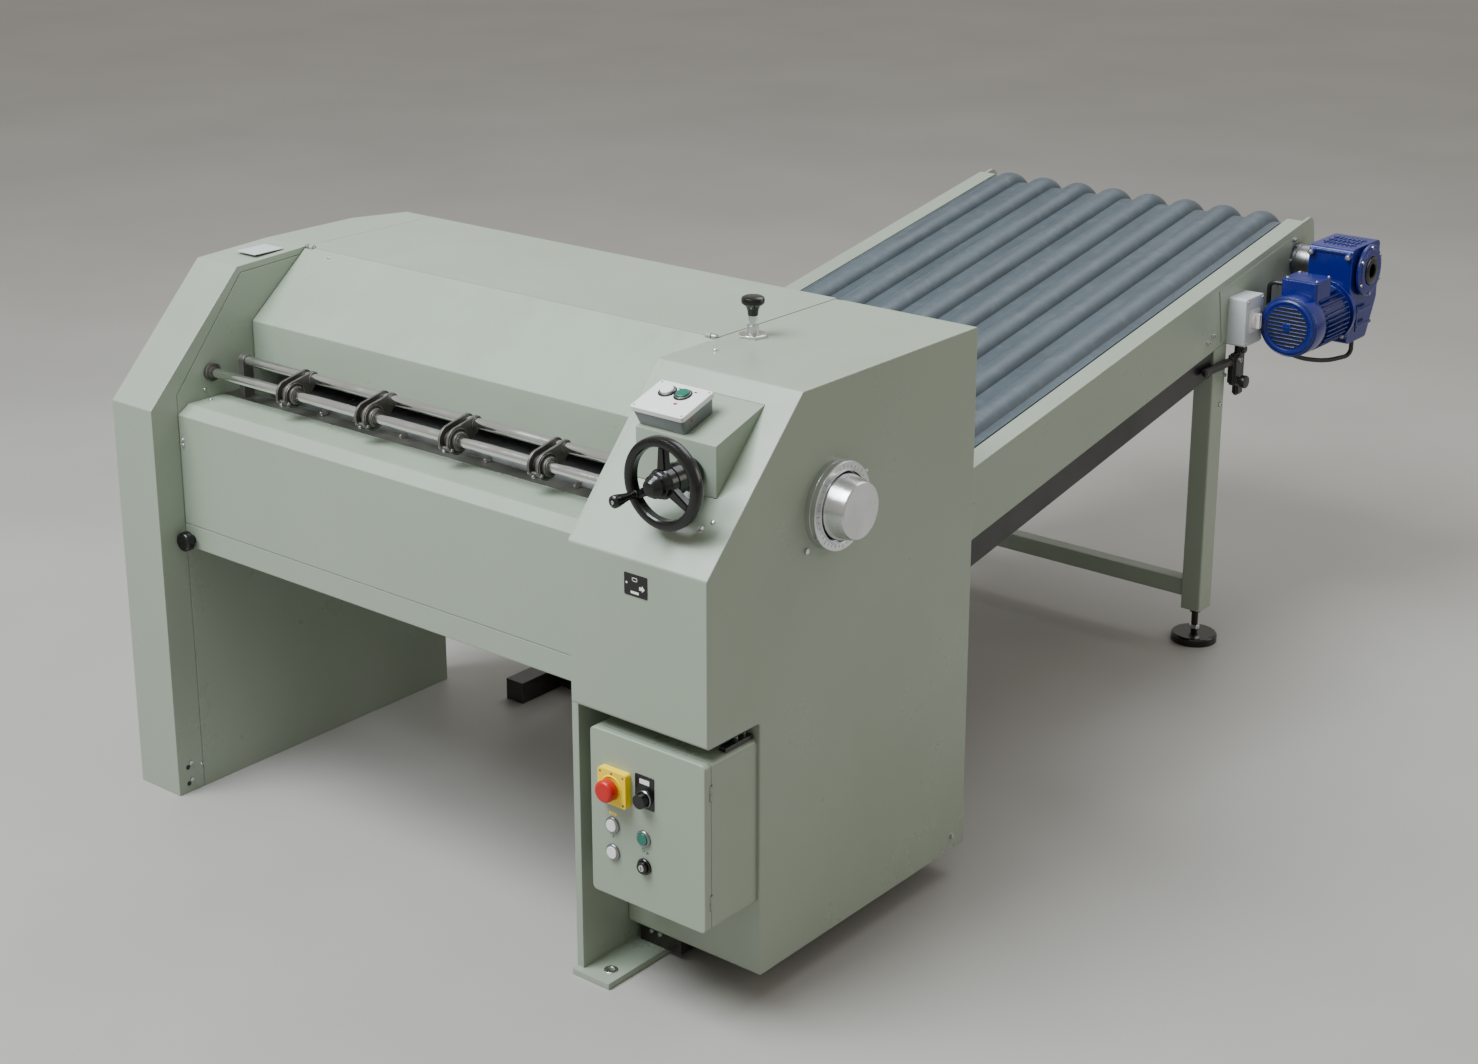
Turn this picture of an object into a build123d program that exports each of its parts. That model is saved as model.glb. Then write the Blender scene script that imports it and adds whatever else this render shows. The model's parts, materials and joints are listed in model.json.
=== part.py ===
"""Motor-driven roller press with guide rods in front and an inclined delivery conveyor behind.

Millimetres, +Z up, +Y from the feed side to the delivery side, +X towards the drive cabinet.
The origin is the centre of the four anchor holes of the press frame, on the floor.
"""

from build123d import *
import os
from math import atan2, cos, degrees, pi, radians, sin, tan

os.makedirs("parts", exist_ok=True)

# ---- driving dimensions: press frame and cabinets ----
feed_width = 1112.0  # clear width between the frame plates
plate_thickness = 15.0
cabinet_height = 1100.0
cabinet_depth = 775.0
front = -372.0  # front faces of both cabinets
casing_width = 305.0
casing_gap = 2.0  # between frame plate and sheet-metal casing
casing_clearance = 55.0  # casing bottom above the floor
nose_depth = 139.0  # the upper part of the casing stands this far forward
nose_height = 539.0
slope_height = 262.0  # from the front bend up to the cabinet's top
slope_depth = 253.0
cover_width = 111.0
cover_slope_height = 259.0
cover_slope_drop = 9.0  # its upper bend below the cabinet's top
cover_slope_depth = 235.0
cover_top_depth = 417.0
cover_corner = 50.0  # chamfer of the cover's outer rear top corner
sheet = 2.5
fold_radius = 6.0
edge_round = 2.0
plate_setback = 18.0  # right plate behind the casing outline
cover_lip = 64.0  # return flange at the front of the left cover
slope_lip = 14.0
plate_top_gap = 1.0
seam = 1.0

foot_width = 87.0
foot_thickness = 12.0
foot_setback = 5.0
anchor_hole_d = 14.0
anchor_offset = 57.0  # outside the inner face of each frame plate
anchor_spacing_y = 656.0
left_foot_end = 350.0

# ---- driving dimensions: feed table, rods and guard ----
table_front = -308.0
table_height = 836.0
table_back = -193.0
bevel_depth = 27.0
bevel_drop = 17.0
panel_bottom = 589.0
front_rail_height = 48.0
front_rail_depth = 40.0
feed_plate_thickness = 3.0
infeed_plate_end = -152.0
outfeed_plate_start = 32.0
rod_d = 20.0
front_rod_y = -219.0
front_rod_z = 889.0
rear_rod_y = -171.0
rear_rod_z = 912.0
rear_rod_inset = 44.0  # from each frame plate
stand_width = 14.0
stand_depth = 26.0
rod_fit = 0.1
bush_d = 38.0
bush_bore = 0.05
bush_length = 8.0
clamp_count = 4
clamp_first = -312.0
clamp_pitch = 227.0
clamp_width = 27.0
cheek = 5.0
clamp_lobe = 27.0
clamp_small_lobe = 14.0
clamp_fit = 0.15
guard_front = -107.0
guard_bottom = 892.0
guard_knee_drop = 128.0  # below the cabinet's top
guard_top_y = 45.0
hinge_pin_d = 6.0
hinge_wall = 2.5
hinge_block = 12.0

# ---- driving dimensions: rollers, gears and drive ----
roller_d = 150.0
roller_gap = 2.0
roller_end_gap = 11.0  # to each frame plate
journal_d = 45.0
bearing_fit = 0.05
bearing_housing_d = 110.0
bearing_housing_width = 22.0
gear_teeth = 40
pinion_teeth = 20
gear_width = 24.0
gear_backlash = 0.16
drive_motor_d = 130.0
drive_motor_length = 150.0
pinion_shaft_d = 24.0

# ---- driving dimensions: controls on the drive cabinet ----
console_start = 71.0  # from the frame plate
console_width = 176.0
console_front = -274.0
console_drop = 69.0  # its upper front edge below the cabinet's top
console_rise = 41.0
wheel_d = 160.0
wheel_rim = 17.0
wheel_offset = 197.0  # from the frame plate
wheel_y = -350.0
wheel_drop = 123.0
wheel_spoke_angles = (90.0, 210.0, 330.0)
grip_angle = 207.0
grip_reach = 62.0
grip_length = 58.0
wheel_shaft_d = 16.0
running_fit = 0.05
station_width = 116.0
station_depth = 88.0
station_height = 38.0
station_offset = 123.0
station_lid = 9.0
station_button_d = 24.0
station_button_travel = 4.0
dial_y = -34.0
dial_drop = 221.0
dial_d = 160.0
dial_base_thickness = 12.0
dial_knob_d = 124.0
dial_knob_end_d = 102.0
dial_knob_length = 48.0
plunger_offset = 30.0
plunger_y = 91.0
plunger_knob_d = 43.0
plunger_stem_d = 12.0
plunger_height = 76.0
plunger_travel = 8.0
lock_inset = 22.0  # from the left frame plate
lock_z = 559.0
lock_knob_d = 40.0

# ---- driving dimensions: electrical box ----
box_offset = 43.0  # from the frame plate
box_width = 258.0
box_bottom = 196.0
box_top = 509.0
door_thickness = 16.0
door_gap = 1.0
box_wall = 2.0
device_hole_d = 22.0
device_fit = 0.3
button_d = 28.0
button_travel = 3.0

# ---- driving dimensions: delivery conveyor ----
incline = 9.96
conveyor_left = -238.0
conveyor_right = 702.0
head_y = 2073.0
head_z = 882.0
tail_gap = 1.964  # between the belt's ribs and the cabinet
belt_radius = 80.0
belt_thickness = 6.0
belt_edge_gap = 51.0
rib_count = 8
rib_pitch = 104.0
rib_width = 64.0
rib_height = 22.0
rail_drop = 72.0  # the rails reach this far below the drum axes
rail_flange = 47.0
rail_sheet = 4.0
rail_tail = 70.0  # rails reach past the tail drum
rail_head = 46.0
head_plate_reach = 103.0
head_plate_thickness = 8.0
drum_shaft_d = 35.0
drum_gap = 0.3
tray_depth = 58.0
tray_end = -432.0
leg_y = 1705.0
leg_width = 50.0
leg_depth = 60.0
leg_bottom = 85.0
crossbar = 42.0
crossbar_bottom = 112.0
foot_disc_d = 110.0
foot_stem_d = 16.0
skid = 50.0
skid_x = -347.0
skid_length = 520.0

# ---- driving dimensions: conveyor drive ----
gearbox_left = 768.0
gearbox_right = 878.0
gearbox_front = 1998.0
gearbox_back = 2148.0
gearbox_top = 943.0
gearbox_bottom = 712.0
motor_x = 823.0
motor_z = 790.0
motor_d = 138.0
motor_front = 1791.0
terminal_box_front = 1838.0
terminal_box_back = 1918.0
terminal_box_top = 890.0
cable_d = 11.0
isolator_x = 47.0
isolator_front = 1728.0
isolator_back = 1815.0
isolator_bottom = 741.0
isolator_top = 856.0

# ---- worked out from the driving dimensions ----
half_width = feed_width / 2
plate_outer = half_width + plate_thickness
casing_inner = plate_outer + casing_gap
casing_outer = casing_inner + casing_width
cover_inner = -plate_outer
cover_outer = -plate_outer - cover_width
back = front + cabinet_depth
slope_foot_height = cabinet_height - slope_height
cover_slope_foot = cabinet_height - cover_slope_height
cover_slope_top = cabinet_height - cover_slope_drop
anchor_spacing_x = feed_width + 2 * anchor_offset
rear_rod_length = feed_width - 2 * rear_rod_inset
roller_length = feed_width - 2 * roller_end_gap
guard_knee = cabinet_height - guard_knee_drop
console_left = plate_outer + console_start
console_right = console_left + console_width
console_height = cabinet_height - console_drop
wheel_x = plate_outer + wheel_offset
wheel_z = cabinet_height - wheel_drop
station_x = plate_outer + station_offset
dial_z = cabinet_height - dial_drop
plunger_x = plate_outer + plunger_offset
lock_x = lock_inset - half_width
box_left = plate_outer + box_offset
box_right = box_left + box_width
drum_centres = (head_y - back - tail_gap - belt_radius - rib_height) / cos(radians(incline))
rail_depth = belt_radius + rail_drop
lower_roller_z = table_height + roller_gap - roller_d / 2
upper_roller_z = lower_roller_z + roller_d + roller_gap
gear_module = (roller_d + roller_gap) / gear_teeth
pinion_z = lower_roller_z - gear_module * (gear_teeth + pinion_teeth) / 2
gear_x = plate_outer + bearing_housing_width + 3
slope_angle = degrees(atan2(cabinet_height - slope_foot_height, slope_depth))
console_back = front + (console_height + console_rise - slope_foot_height) / tan(radians(slope_angle))
console_back_height = slope_foot_height + (console_back - front) * tan(radians(slope_angle))
console_tilt = degrees(atan2(console_back_height - console_height, console_back - console_front))
door_front = front
door_back = door_front + door_thickness
box_front = door_back + door_gap
box_back = front + nose_depth

conveyor_plane = Plane(
    origin=(0, head_y, head_z),
    x_dir=(1, 0, 0),
    z_dir=(0, -sin(radians(incline)), cos(radians(incline))),
)
side_plane = Plane(
    origin=(0, head_y, head_z),
    x_dir=(0, cos(radians(incline)), sin(radians(incline))),
    z_dir=(1, 0, 0),
)
conveyor_middle = (conveyor_left + conveyor_right) / 2
belt_left = conveyor_left + belt_edge_gap
belt_right = conveyor_right - belt_edge_gap
rail_top = belt_radius
rail_bottom = -rail_drop
drum_radius = belt_radius - belt_thickness


# =====================================================================
# Press frame
# =====================================================================
with BuildPart() as right_frame_plate:
    with BuildSketch(Plane.YZ.offset(half_width)):
        with BuildLine():
            Polyline(
                (front + plate_setback, 0),
                (front + plate_setback, slope_foot_height - 6),
                (front + slope_depth + 2, cabinet_height - plate_top_gap),
                (back - 5, cabinet_height - plate_top_gap),
                (back - 5, 0),
                close=True,
            )
        make_face()
    extrude(amount=plate_thickness)
    with BuildSketch(Plane.XY):
        with Locations((half_width, front + foot_setback)):
            Rectangle(foot_width, cabinet_depth - foot_setback - 5, align=(Align.MIN, Align.MIN))
        with GridLocations(anchor_spacing_x, anchor_spacing_y, 2, 2):
            Circle(anchor_hole_d / 2, mode=Mode.SUBTRACT)
    extrude(amount=foot_thickness)
    with BuildSketch(Plane.YZ.offset(half_width)):
        with Locations((front_rod_y, front_rod_z)):
            Circle(rod_d / 2 + rod_fit)
        with Locations((0, lower_roller_z), (0, upper_roller_z)):
            Circle(journal_d / 2 + 1)
    extrude(amount=plate_thickness, mode=Mode.SUBTRACT)
right_frame_plate.part.label = "right_frame_plate"
export_step(right_frame_plate.part, "parts/right_frame_plate.step")

with BuildPart() as left_frame_plate:
    with BuildSketch(Plane.YZ.offset(-plate_outer)):
        with BuildLine():
            Polyline(
                (front + cover_lip + seam, 0),
                (front + cover_lip + seam, slope_foot_height + 20),
                (front + cover_slope_depth + 8, cover_slope_top - slope_lip),
                (front + cover_top_depth, cabinet_height - slope_lip),
                (back - 5, cabinet_height - slope_lip),
                (back - 5, 0),
                close=True,
            )
        make_face()
        with Locations((front_rod_y, front_rod_z)):
            Circle(rod_d / 2 + rod_fit, mode=Mode.SUBTRACT)
        with Locations((0, lower_roller_z), (0, upper_roller_z)):
            Circle(journal_d / 2 + 1, mode=Mode.SUBTRACT)
    extrude(amount=plate_thickness)
    with BuildSketch(Plane.XY):
        with Locations((-half_width, left_foot_end)):
            Rectangle(foot_width, left_foot_end - front - 15, align=(Align.MAX, Align.MAX))
        with Locations((-half_width, front)):
            Rectangle(
                plate_thickness, cover_lip + seam, align=(Align.MAX, Align.MIN), mode=Mode.SUBTRACT
            )
        with GridLocations(anchor_spacing_x, anchor_spacing_y, 2, 2):
            Circle(anchor_hole_d / 2, mode=Mode.SUBTRACT)
    extrude(amount=foot_thickness)
left_frame_plate.part.label = "left_frame_plate"
export_step(left_frame_plate.part, "parts/left_frame_plate.step")

# The cover is a folded shell, open towards the plate, with a return flange that frames the plate.
with BuildPart() as left_cover:
    with BuildSketch(Plane.YZ.offset(cover_outer)) as cover_profile:
        with BuildLine():
            Polyline(
                (front, 0),
                (front, cover_slope_foot),
                (front + cover_slope_depth, cover_slope_top),
                (front + cover_top_depth, cabinet_height),
                (back, cabinet_height),
                (back - 25, 0),
                close=True,
            )
        make_face()
        fillet(cover_profile.vertices().group_by(Axis.Z)[1:], fold_radius)
    extrude(amount=cover_width + plate_thickness)
    outer_loop = left_cover.faces().sort_by(Axis.X)[0].edges()
    fillet(outer_loop.sort_by(Axis.Z)[1:], edge_round)
    with BuildSketch(Plane.XY.offset(cabinet_height)):
        with BuildLine():
            Polyline(
                (cover_outer, back),
                (cover_outer + cover_corner, back),
                (cover_outer, back - 2.4 * cover_corner),
                close=True,
            )
        make_face()
    extrude(amount=-cabinet_height, mode=Mode.SUBTRACT)
    with BuildSketch(Plane.YZ.offset(cover_outer + sheet)):
        with BuildLine():
            Polyline(
                (front + sheet, 0),
                (front + sheet, cover_slope_foot - 1),
                (front + cover_slope_depth + 1, cover_slope_top - sheet),
                (front + cover_top_depth, cabinet_height - sheet),
                (back - 2.4 * cover_corner - 8, cabinet_height - sheet),
                (back - 2.4 * cover_corner - 8, 0),
                close=True,
            )
        make_face()
    extrude(amount=cover_width + plate_thickness - 2 * sheet, mode=Mode.SUBTRACT)
    with BuildSketch(Plane.XY):
        with BuildLine():
            Polyline(
                (cover_outer + cover_corner + 4, back - sheet),
                (cover_outer + 4, back - 2.4 * cover_corner - 8.5),
                (-half_width - sheet, back - 2.4 * cover_corner - 8.5),
                (-half_width - sheet, back - sheet - 28),
                close=True,
            )
        make_face()
    extrude(amount=cabinet_height - sheet - 2, mode=Mode.SUBTRACT)
    with BuildSketch(Plane.YZ.offset(-plate_outer - seam)):
        with BuildLine():
            Polyline(
                (front + cover_lip, 0),
                (front + cover_lip, slope_foot_height + 21),
                (front + cover_slope_depth + 7, cover_slope_top - slope_lip + seam),
                (front + cover_top_depth, cabinet_height - slope_lip + seam),
                (back, cabinet_height - slope_lip + seam),
                (back, 0),
                close=True,
            )
        make_face()
    extrude(amount=plate_thickness + 2 * seam, mode=Mode.SUBTRACT)
left_cover.part.label = "left_cover"
export_step(left_cover.part, "parts/left_cover.step")

# The casing is a folded shell, open towards the frame plate.
with BuildPart() as right_casing:
    with BuildSketch(Plane.YZ.offset(casing_inner)) as casing_profile:
        with BuildLine():
            Polyline(
                (front + nose_depth, casing_clearance),
                (back, casing_clearance),
                (back, cabinet_height),
                (front + slope_depth, cabinet_height),
                (front, slope_foot_height),
                (front, nose_height),
                (front + nose_depth, nose_height),
                close=True,
            )
        make_face()
        fillet(casing_profile.vertices(), fold_radius)
    extrude(amount=casing_width)
    fillet(right_casing.faces().sort_by(Axis.X)[-1].edges(), edge_round)
    with BuildSketch(Plane.YZ.offset(casing_inner)):
        with BuildLine():
            Polyline(
                (front + nose_depth + sheet, casing_clearance + sheet),
                (back - sheet, casing_clearance + sheet),
                (back - sheet, cabinet_height - sheet),
                (front + slope_depth + 1, cabinet_height - sheet),
                (front + sheet, slope_foot_height - 1),
                (front + sheet, nose_height + sheet),
                (front + nose_depth + sheet, nose_height + sheet),
                close=True,
            )
        make_face()
        fillet(
            vertices().sort_by(Axis.X)[2:],
            fold_radius - sheet,
        )
    extrude(amount=casing_width - sheet, mode=Mode.SUBTRACT)
    with BuildSketch(Plane.XY.offset(cabinet_height)):
        with Locations((plunger_x, plunger_y)):
            Circle(plunger_stem_d / 2 + 1)
    extrude(amount=-sheet, mode=Mode.SUBTRACT)
    with BuildSketch(Plane.YZ.offset(casing_outer)):
        with Locations((dial_y, dial_z)):
            Circle(wheel_shaft_d / 2 + 1)
    extrude(amount=-sheet, mode=Mode.SUBTRACT)
right_casing.part.label = "right_casing"
export_step(right_casing.part, "parts/right_casing.step")

top_panel_apron = 240.0  # hangs down over the back
with BuildPart() as top_panel:
    with BuildSketch(Plane.YZ.offset(-half_width + seam)):
        with BuildLine():
            Polyline(
                (guard_top_y + seam, cabinet_height),
                (back, cabinet_height),
                (back, cabinet_height - top_panel_apron),
                (back - sheet, cabinet_height - top_panel_apron),
                (back - sheet, cabinet_height - sheet),
                (guard_top_y + seam, cabinet_height - sheet),
                close=True,
            )
        make_face()
    extrude(amount=feed_width - 2 * seam)
    for end in (-1, 1):
        with BuildSketch(Plane.YZ.offset(end * half_width)):
            with Locations((guard_top_y + seam, cabinet_height)):
                Circle(hinge_pin_d / 2 + hinge_wall + 0.5)
        extrude(amount=-end * (2 * hinge_block + 4), mode=Mode.SUBTRACT)
top_panel.part.label = "top_panel"
export_step(top_panel.part, "parts/top_panel.step")

guard_inside_knee = sheet * tan(radians(25))
with BuildPart() as front_guard:
    with BuildSketch(Plane.YZ.offset(-half_width + 2)):
        with BuildLine():
            Polyline(
                (guard_top_y, cabinet_height),
                (guard_front, guard_knee),
                (guard_front, guard_bottom),
                (guard_front + sheet, guard_bottom),
                (guard_front + sheet, guard_knee - guard_inside_knee),
                (guard_top_y, cabinet_height - sheet * 1.4),
                close=True,
            )
        make_face()
    extrude(amount=feed_width - 4)
    with BuildSketch(Plane.YZ.offset(-half_width + 2 + hinge_block)):
        with Locations((guard_top_y + seam, cabinet_height)):
            Circle(hinge_pin_d / 2 + hinge_wall)
            Circle(hinge_pin_d / 2 + running_fit, mode=Mode.SUBTRACT)
    extrude(amount=hinge_block - 1)
    with BuildSketch(Plane.YZ.offset(half_width - 2 - hinge_block)):
        with Locations((guard_top_y + seam, cabinet_height)):
            Circle(hinge_pin_d / 2 + hinge_wall)
            Circle(hinge_pin_d / 2 + running_fit, mode=Mode.SUBTRACT)
    extrude(amount=-hinge_block + 1)
    for end in (-1, 1):
        with BuildSketch(Plane.YZ.offset(end * half_width)):
            with Locations((guard_top_y + seam, cabinet_height)):
                Circle(hinge_pin_d / 2 + hinge_wall + 0.5)
        extrude(amount=-end * (hinge_block + 1.5), mode=Mode.SUBTRACT)
        with BuildSketch(Plane.YZ.offset(end * half_width)):
            with Locations((guard_top_y + seam, cabinet_height)):
                Circle(hinge_pin_d / 2 + running_fit)
        extrude(amount=-end * (2 * hinge_block + 4), mode=Mode.SUBTRACT)
front_guard.part.label = "front_guard"
export_step(front_guard.part, "parts/front_guard.step")

with BuildPart() as guard_hinge:
    for end in (-1, 1):
        with BuildSketch(Plane.YZ.offset(end * (half_width - 2))):
            with Locations((guard_top_y + seam, cabinet_height)):
                Circle(hinge_pin_d / 2)
        extrude(amount=-end * (2 * hinge_block))
        with BuildSketch(Plane.YZ.offset(end * (half_width - 2))):
            with Locations((guard_top_y + seam, cabinet_height)):
                Circle(hinge_pin_d / 2 + hinge_wall)
        extrude(amount=-end * (hinge_block - 2))
guard_hinge.part.label = "guard_hinge"
export_step(guard_hinge.part, "parts/guard_hinge.step")

with BuildPart() as front_panel:
    with BuildSketch(Plane.YZ.offset(-half_width + seam)):
        with BuildLine():
            Polyline(
                (table_front, panel_bottom),
                (table_front, table_height - bevel_drop),
                (table_front + bevel_depth, table_height),
                (table_back, table_height),
                (table_back, table_height - sheet),
                (table_front + bevel_depth + 0.7, table_height - sheet),
                (table_front + sheet, table_height - bevel_drop - 1.4),
                (table_front + sheet, panel_bottom),
                close=True,
            )
        make_face()
    extrude(amount=feed_width - 2 * seam)
front_panel.part.label = "front_panel"
export_step(front_panel.part, "parts/front_panel.step")

tie = 50.0
tie_wall = 3.0
tie_y = back - 32.0
tie_levels = (585.0, 715.0, cabinet_height - 40)
with BuildPart() as frame_ties:
    with BuildSketch(Plane.YZ.offset(-half_width)):
        with Locations(
            (table_front + front_rail_depth / 2, panel_bottom - seam - front_rail_height / 2)
        ):
            Rectangle(front_rail_depth, front_rail_height)
            Rectangle(
                front_rail_depth - 2 * tie_wall, front_rail_height - 2 * tie_wall, mode=Mode.SUBTRACT
            )
        with Locations([(tie_y, level) for level in tie_levels]):
            Rectangle(tie, tie)
            Rectangle(tie - 2 * tie_wall, tie - 2 * tie_wall, mode=Mode.SUBTRACT)
    extrude(amount=feed_width)
    with BuildSketch(Plane.XZ.offset(-table_front)):
        with Locations((lock_x, lock_z)):
            Circle(5 + running_fit)
    extrude(amount=-tie_wall, mode=Mode.SUBTRACT)
frame_ties.part.label = "frame_ties"
export_step(frame_ties.part, "parts/frame_ties.step")

# The infeed plate ends just before the nip; the outfeed plate slopes down to the conveyor.
outfeed_knee = table_height - 74
outfeed_end = outfeed_knee - 17
with BuildPart() as feed_plates:
    with BuildSketch(Plane.YZ.offset(-half_width + 2)):
        with Locations((table_back + seam, table_height)):
            Rectangle(
                infeed_plate_end - table_back - seam,
                feed_plate_thickness,
                align=(Align.MIN, Align.MAX),
            )
        with BuildLine():
            Polyline(
                (outfeed_plate_start, table_height - 1),
                (tie_y - tie / 2 - 2, outfeed_knee),
                (back - 2, outfeed_end),
                (back - 2, outfeed_end - feed_plate_thickness),
                (tie_y - tie / 2 - 2, outfeed_knee - feed_plate_thickness),
                (outfeed_plate_start, table_height - 1 - feed_plate_thickness),
                close=True,
            )
        make_face()
    extrude(amount=feed_width - 4)
feed_plates.part.label = "feed_plates"
export_step(feed_plates.part, "parts/feed_plates.step")

rod_length = 2 * (plate_outer - 1)
with BuildPart() as front_rod:
    with BuildSketch(Plane.YZ.offset(-rod_length / 2)):
        with Locations((front_rod_y, front_rod_z)):
            Circle(rod_d / 2)
    extrude(amount=rod_length)
    chamfer(front_rod.edges().filter_by(GeomType.CIRCLE), 1)
front_rod.part.label = "front_rod"
export_step(front_rod.part, "parts/front_rod.step")

with BuildPart() as rear_rod:
    with BuildSketch(Plane.YZ.offset(-rear_rod_length / 2)):
        with Locations((rear_rod_y, rear_rod_z)):
            Circle(rod_d / 2)
    extrude(amount=rear_rod_length)
    chamfer(rear_rod.edges().filter_by(GeomType.CIRCLE), 1)
rear_rod.part.label = "rear_rod"
export_step(rear_rod.part, "parts/rear_rod.step")

# The front rod ends in flanged bushes, the rear rod in two stands on the infeed plate.
with BuildPart() as rod_bushes:
    for end in (-1, 1):
        with BuildSketch(Plane.YZ.offset(end * half_width)):
            with Locations((front_rod_y, front_rod_z)):
                Circle(bush_d / 2)
                Circle(rod_d / 2 + bush_bore, mode=Mode.SUBTRACT)
        extrude(amount=-end * bush_length)
        with BuildSketch(Plane.YZ.offset(end * (rear_rod_length / 2 - 1))):
            with Locations((rear_rod_y, rear_rod_z)):
                Circle(stand_depth / 2)
                Rectangle(stand_depth, rear_rod_z - table_height, align=(Align.CENTER, Align.MAX))
                Circle(rod_d / 2 + bush_bore, mode=Mode.SUBTRACT)
        extrude(amount=-end * stand_width)
rod_bushes.part.label = "rod_bushes"
export_step(rod_bushes.part, "parts/rod_bushes.step")

# Each clamp is two cheeks on a sleeve that slides along both rods.
sleeve_wall = 5.0
boss_height = 3.0
collar_height = 9.0
for number in range(clamp_count):
    clamp_x = clamp_first + number * clamp_pitch
    with BuildPart() as rod_clamp:
        for cheek_x in (clamp_x - clamp_width / 2, clamp_x + clamp_width / 2 - cheek):
            with BuildSketch(Plane.YZ.offset(cheek_x)) as cheek_outline:
                with Locations((front_rod_y, front_rod_z)):
                    Circle(clamp_lobe)
                with Locations((rear_rod_y, rear_rod_z)):
                    Circle(clamp_small_lobe)
                make_hull()
            extrude(amount=cheek)
        with BuildSketch(Plane.YZ.offset(clamp_x - clamp_width / 2 - boss_height)):
            with Locations((front_rod_y, front_rod_z)):
                Circle(rod_d / 2 + sleeve_wall)
        extrude(amount=clamp_width + boss_height + collar_height)
        with BuildSketch(Plane.YZ.offset(clamp_x - clamp_width / 2 - boss_height)):
            with Locations((front_rod_y, front_rod_z), (rear_rod_y, rear_rod_z)):
                Circle(rod_d / 2 + clamp_fit)
        extrude(amount=clamp_width + boss_height + collar_height, mode=Mode.SUBTRACT)
    rod_clamp.part.label = f"rod_clamp_{number + 1}"
    export_step(rod_clamp.part, f"parts/rod_clamp_{number + 1}.step")


# =====================================================================
# Rollers, gears and drive
# =====================================================================
journal_end = gear_x + gear_width + 1
with BuildPart() as lower_roller:
    with BuildSketch(Plane.YZ.offset(-roller_length / 2)):
        with Locations((0, lower_roller_z)):
            Circle(roller_d / 2)
    extrude(amount=roller_length)
    with BuildSketch(Plane.YZ.offset(-plate_outer - bearing_housing_width - 2)):
        with Locations((0, lower_roller_z)):
            Circle(journal_d / 2)
    extrude(amount=plate_outer + bearing_housing_width + 2 + journal_end)
lower_roller.part.label = "lower_roller"
export_step(lower_roller.part, "parts/lower_roller.step")

with BuildPart() as upper_roller:
    with BuildSketch(Plane.YZ.offset(-roller_length / 2)):
        with Locations((0, upper_roller_z)):
            Circle(roller_d / 2)
    extrude(amount=roller_length)
    with BuildSketch(Plane.YZ.offset(-plate_outer - bearing_housing_width - 2)):
        with Locations((0, upper_roller_z)):
            Circle(journal_d / 2)
    extrude(amount=plate_outer + bearing_housing_width + 2 + journal_end)
upper_roller.part.label = "upper_roller"
export_step(upper_roller.part, "parts/upper_roller.step")

with BuildPart() as bearing_blocks:
    for start in (plate_outer, -plate_outer - bearing_housing_width):
        with BuildSketch(Plane.YZ.offset(start)):
            with Locations((0, lower_roller_z), (0, upper_roller_z)):
                RectangleRounded(bearing_housing_d, bearing_housing_d, 18)
                Circle(journal_d / 2 + bearing_fit, mode=Mode.SUBTRACT)
        extrude(amount=bearing_housing_width)
bearing_blocks.part.label = "bearing_blocks"
export_step(bearing_blocks.part, "parts/bearing_blocks.step")


def tooth_outline(teeth, module):
    """Four corners of one straight-flanked tooth on the +X side of a gear of this size."""
    pitch_radius = module * teeth / 2
    half_thickness = pi * module / 4 * (1 - gear_backlash)
    flank = tan(radians(20))
    tip = 0.85 * module
    root = 1.25 * module
    return [
        (pitch_radius - root, half_thickness + root * flank),
        (pitch_radius + tip, half_thickness - tip * flank),
        (pitch_radius + tip, -half_thickness + tip * flank),
        (pitch_radius - root, -half_thickness - root * flank),
    ]


with BuildPart() as lower_gear:
    with BuildSketch(Plane.YZ.offset(gear_x)):
        with Locations((0, lower_roller_z)):
            Circle(gear_module * gear_teeth / 2 - 1.2 * gear_module)
            with PolarLocations(0, gear_teeth):
                Polygon(*tooth_outline(gear_teeth, gear_module), align=None)
            Circle(journal_d / 2, mode=Mode.SUBTRACT)
    extrude(amount=gear_width)
lower_gear.part.label = "lower_gear"
export_step(lower_gear.part, "parts/lower_gear.step")

with BuildPart() as upper_gear:
    with BuildSketch(Plane.YZ.offset(gear_x)):
        with Locations((0, upper_roller_z)):
            Circle(gear_module * gear_teeth / 2 - 1.2 * gear_module)
            with PolarLocations(0, gear_teeth, start_angle=180 / gear_teeth):
                Polygon(*tooth_outline(gear_teeth, gear_module), align=None)
            Circle(journal_d / 2, mode=Mode.SUBTRACT)
    extrude(amount=gear_width)
upper_gear.part.label = "upper_gear"
export_step(upper_gear.part, "parts/upper_gear.step")

motor_start = gear_x + gear_width + 6
with BuildPart() as drive_pinion:
    with BuildSketch(Plane.YZ.offset(gear_x)):
        with Locations((0, pinion_z)):
            Circle(gear_module * pinion_teeth / 2 - 1.2 * gear_module)
            with PolarLocations(0, pinion_teeth, start_angle=180 / pinion_teeth):
                Polygon(*tooth_outline(pinion_teeth, gear_module), align=None)
    extrude(amount=gear_width)
    with BuildSketch(Plane.YZ.offset(gear_x + gear_width)):
        with Locations((0, pinion_z)):
            Circle(pinion_shaft_d / 2)
    extrude(amount=motor_start - gear_x - gear_width + 30)
drive_pinion.part.label = "drive_pinion"
export_step(drive_pinion.part, "parts/drive_pinion.step")

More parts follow.
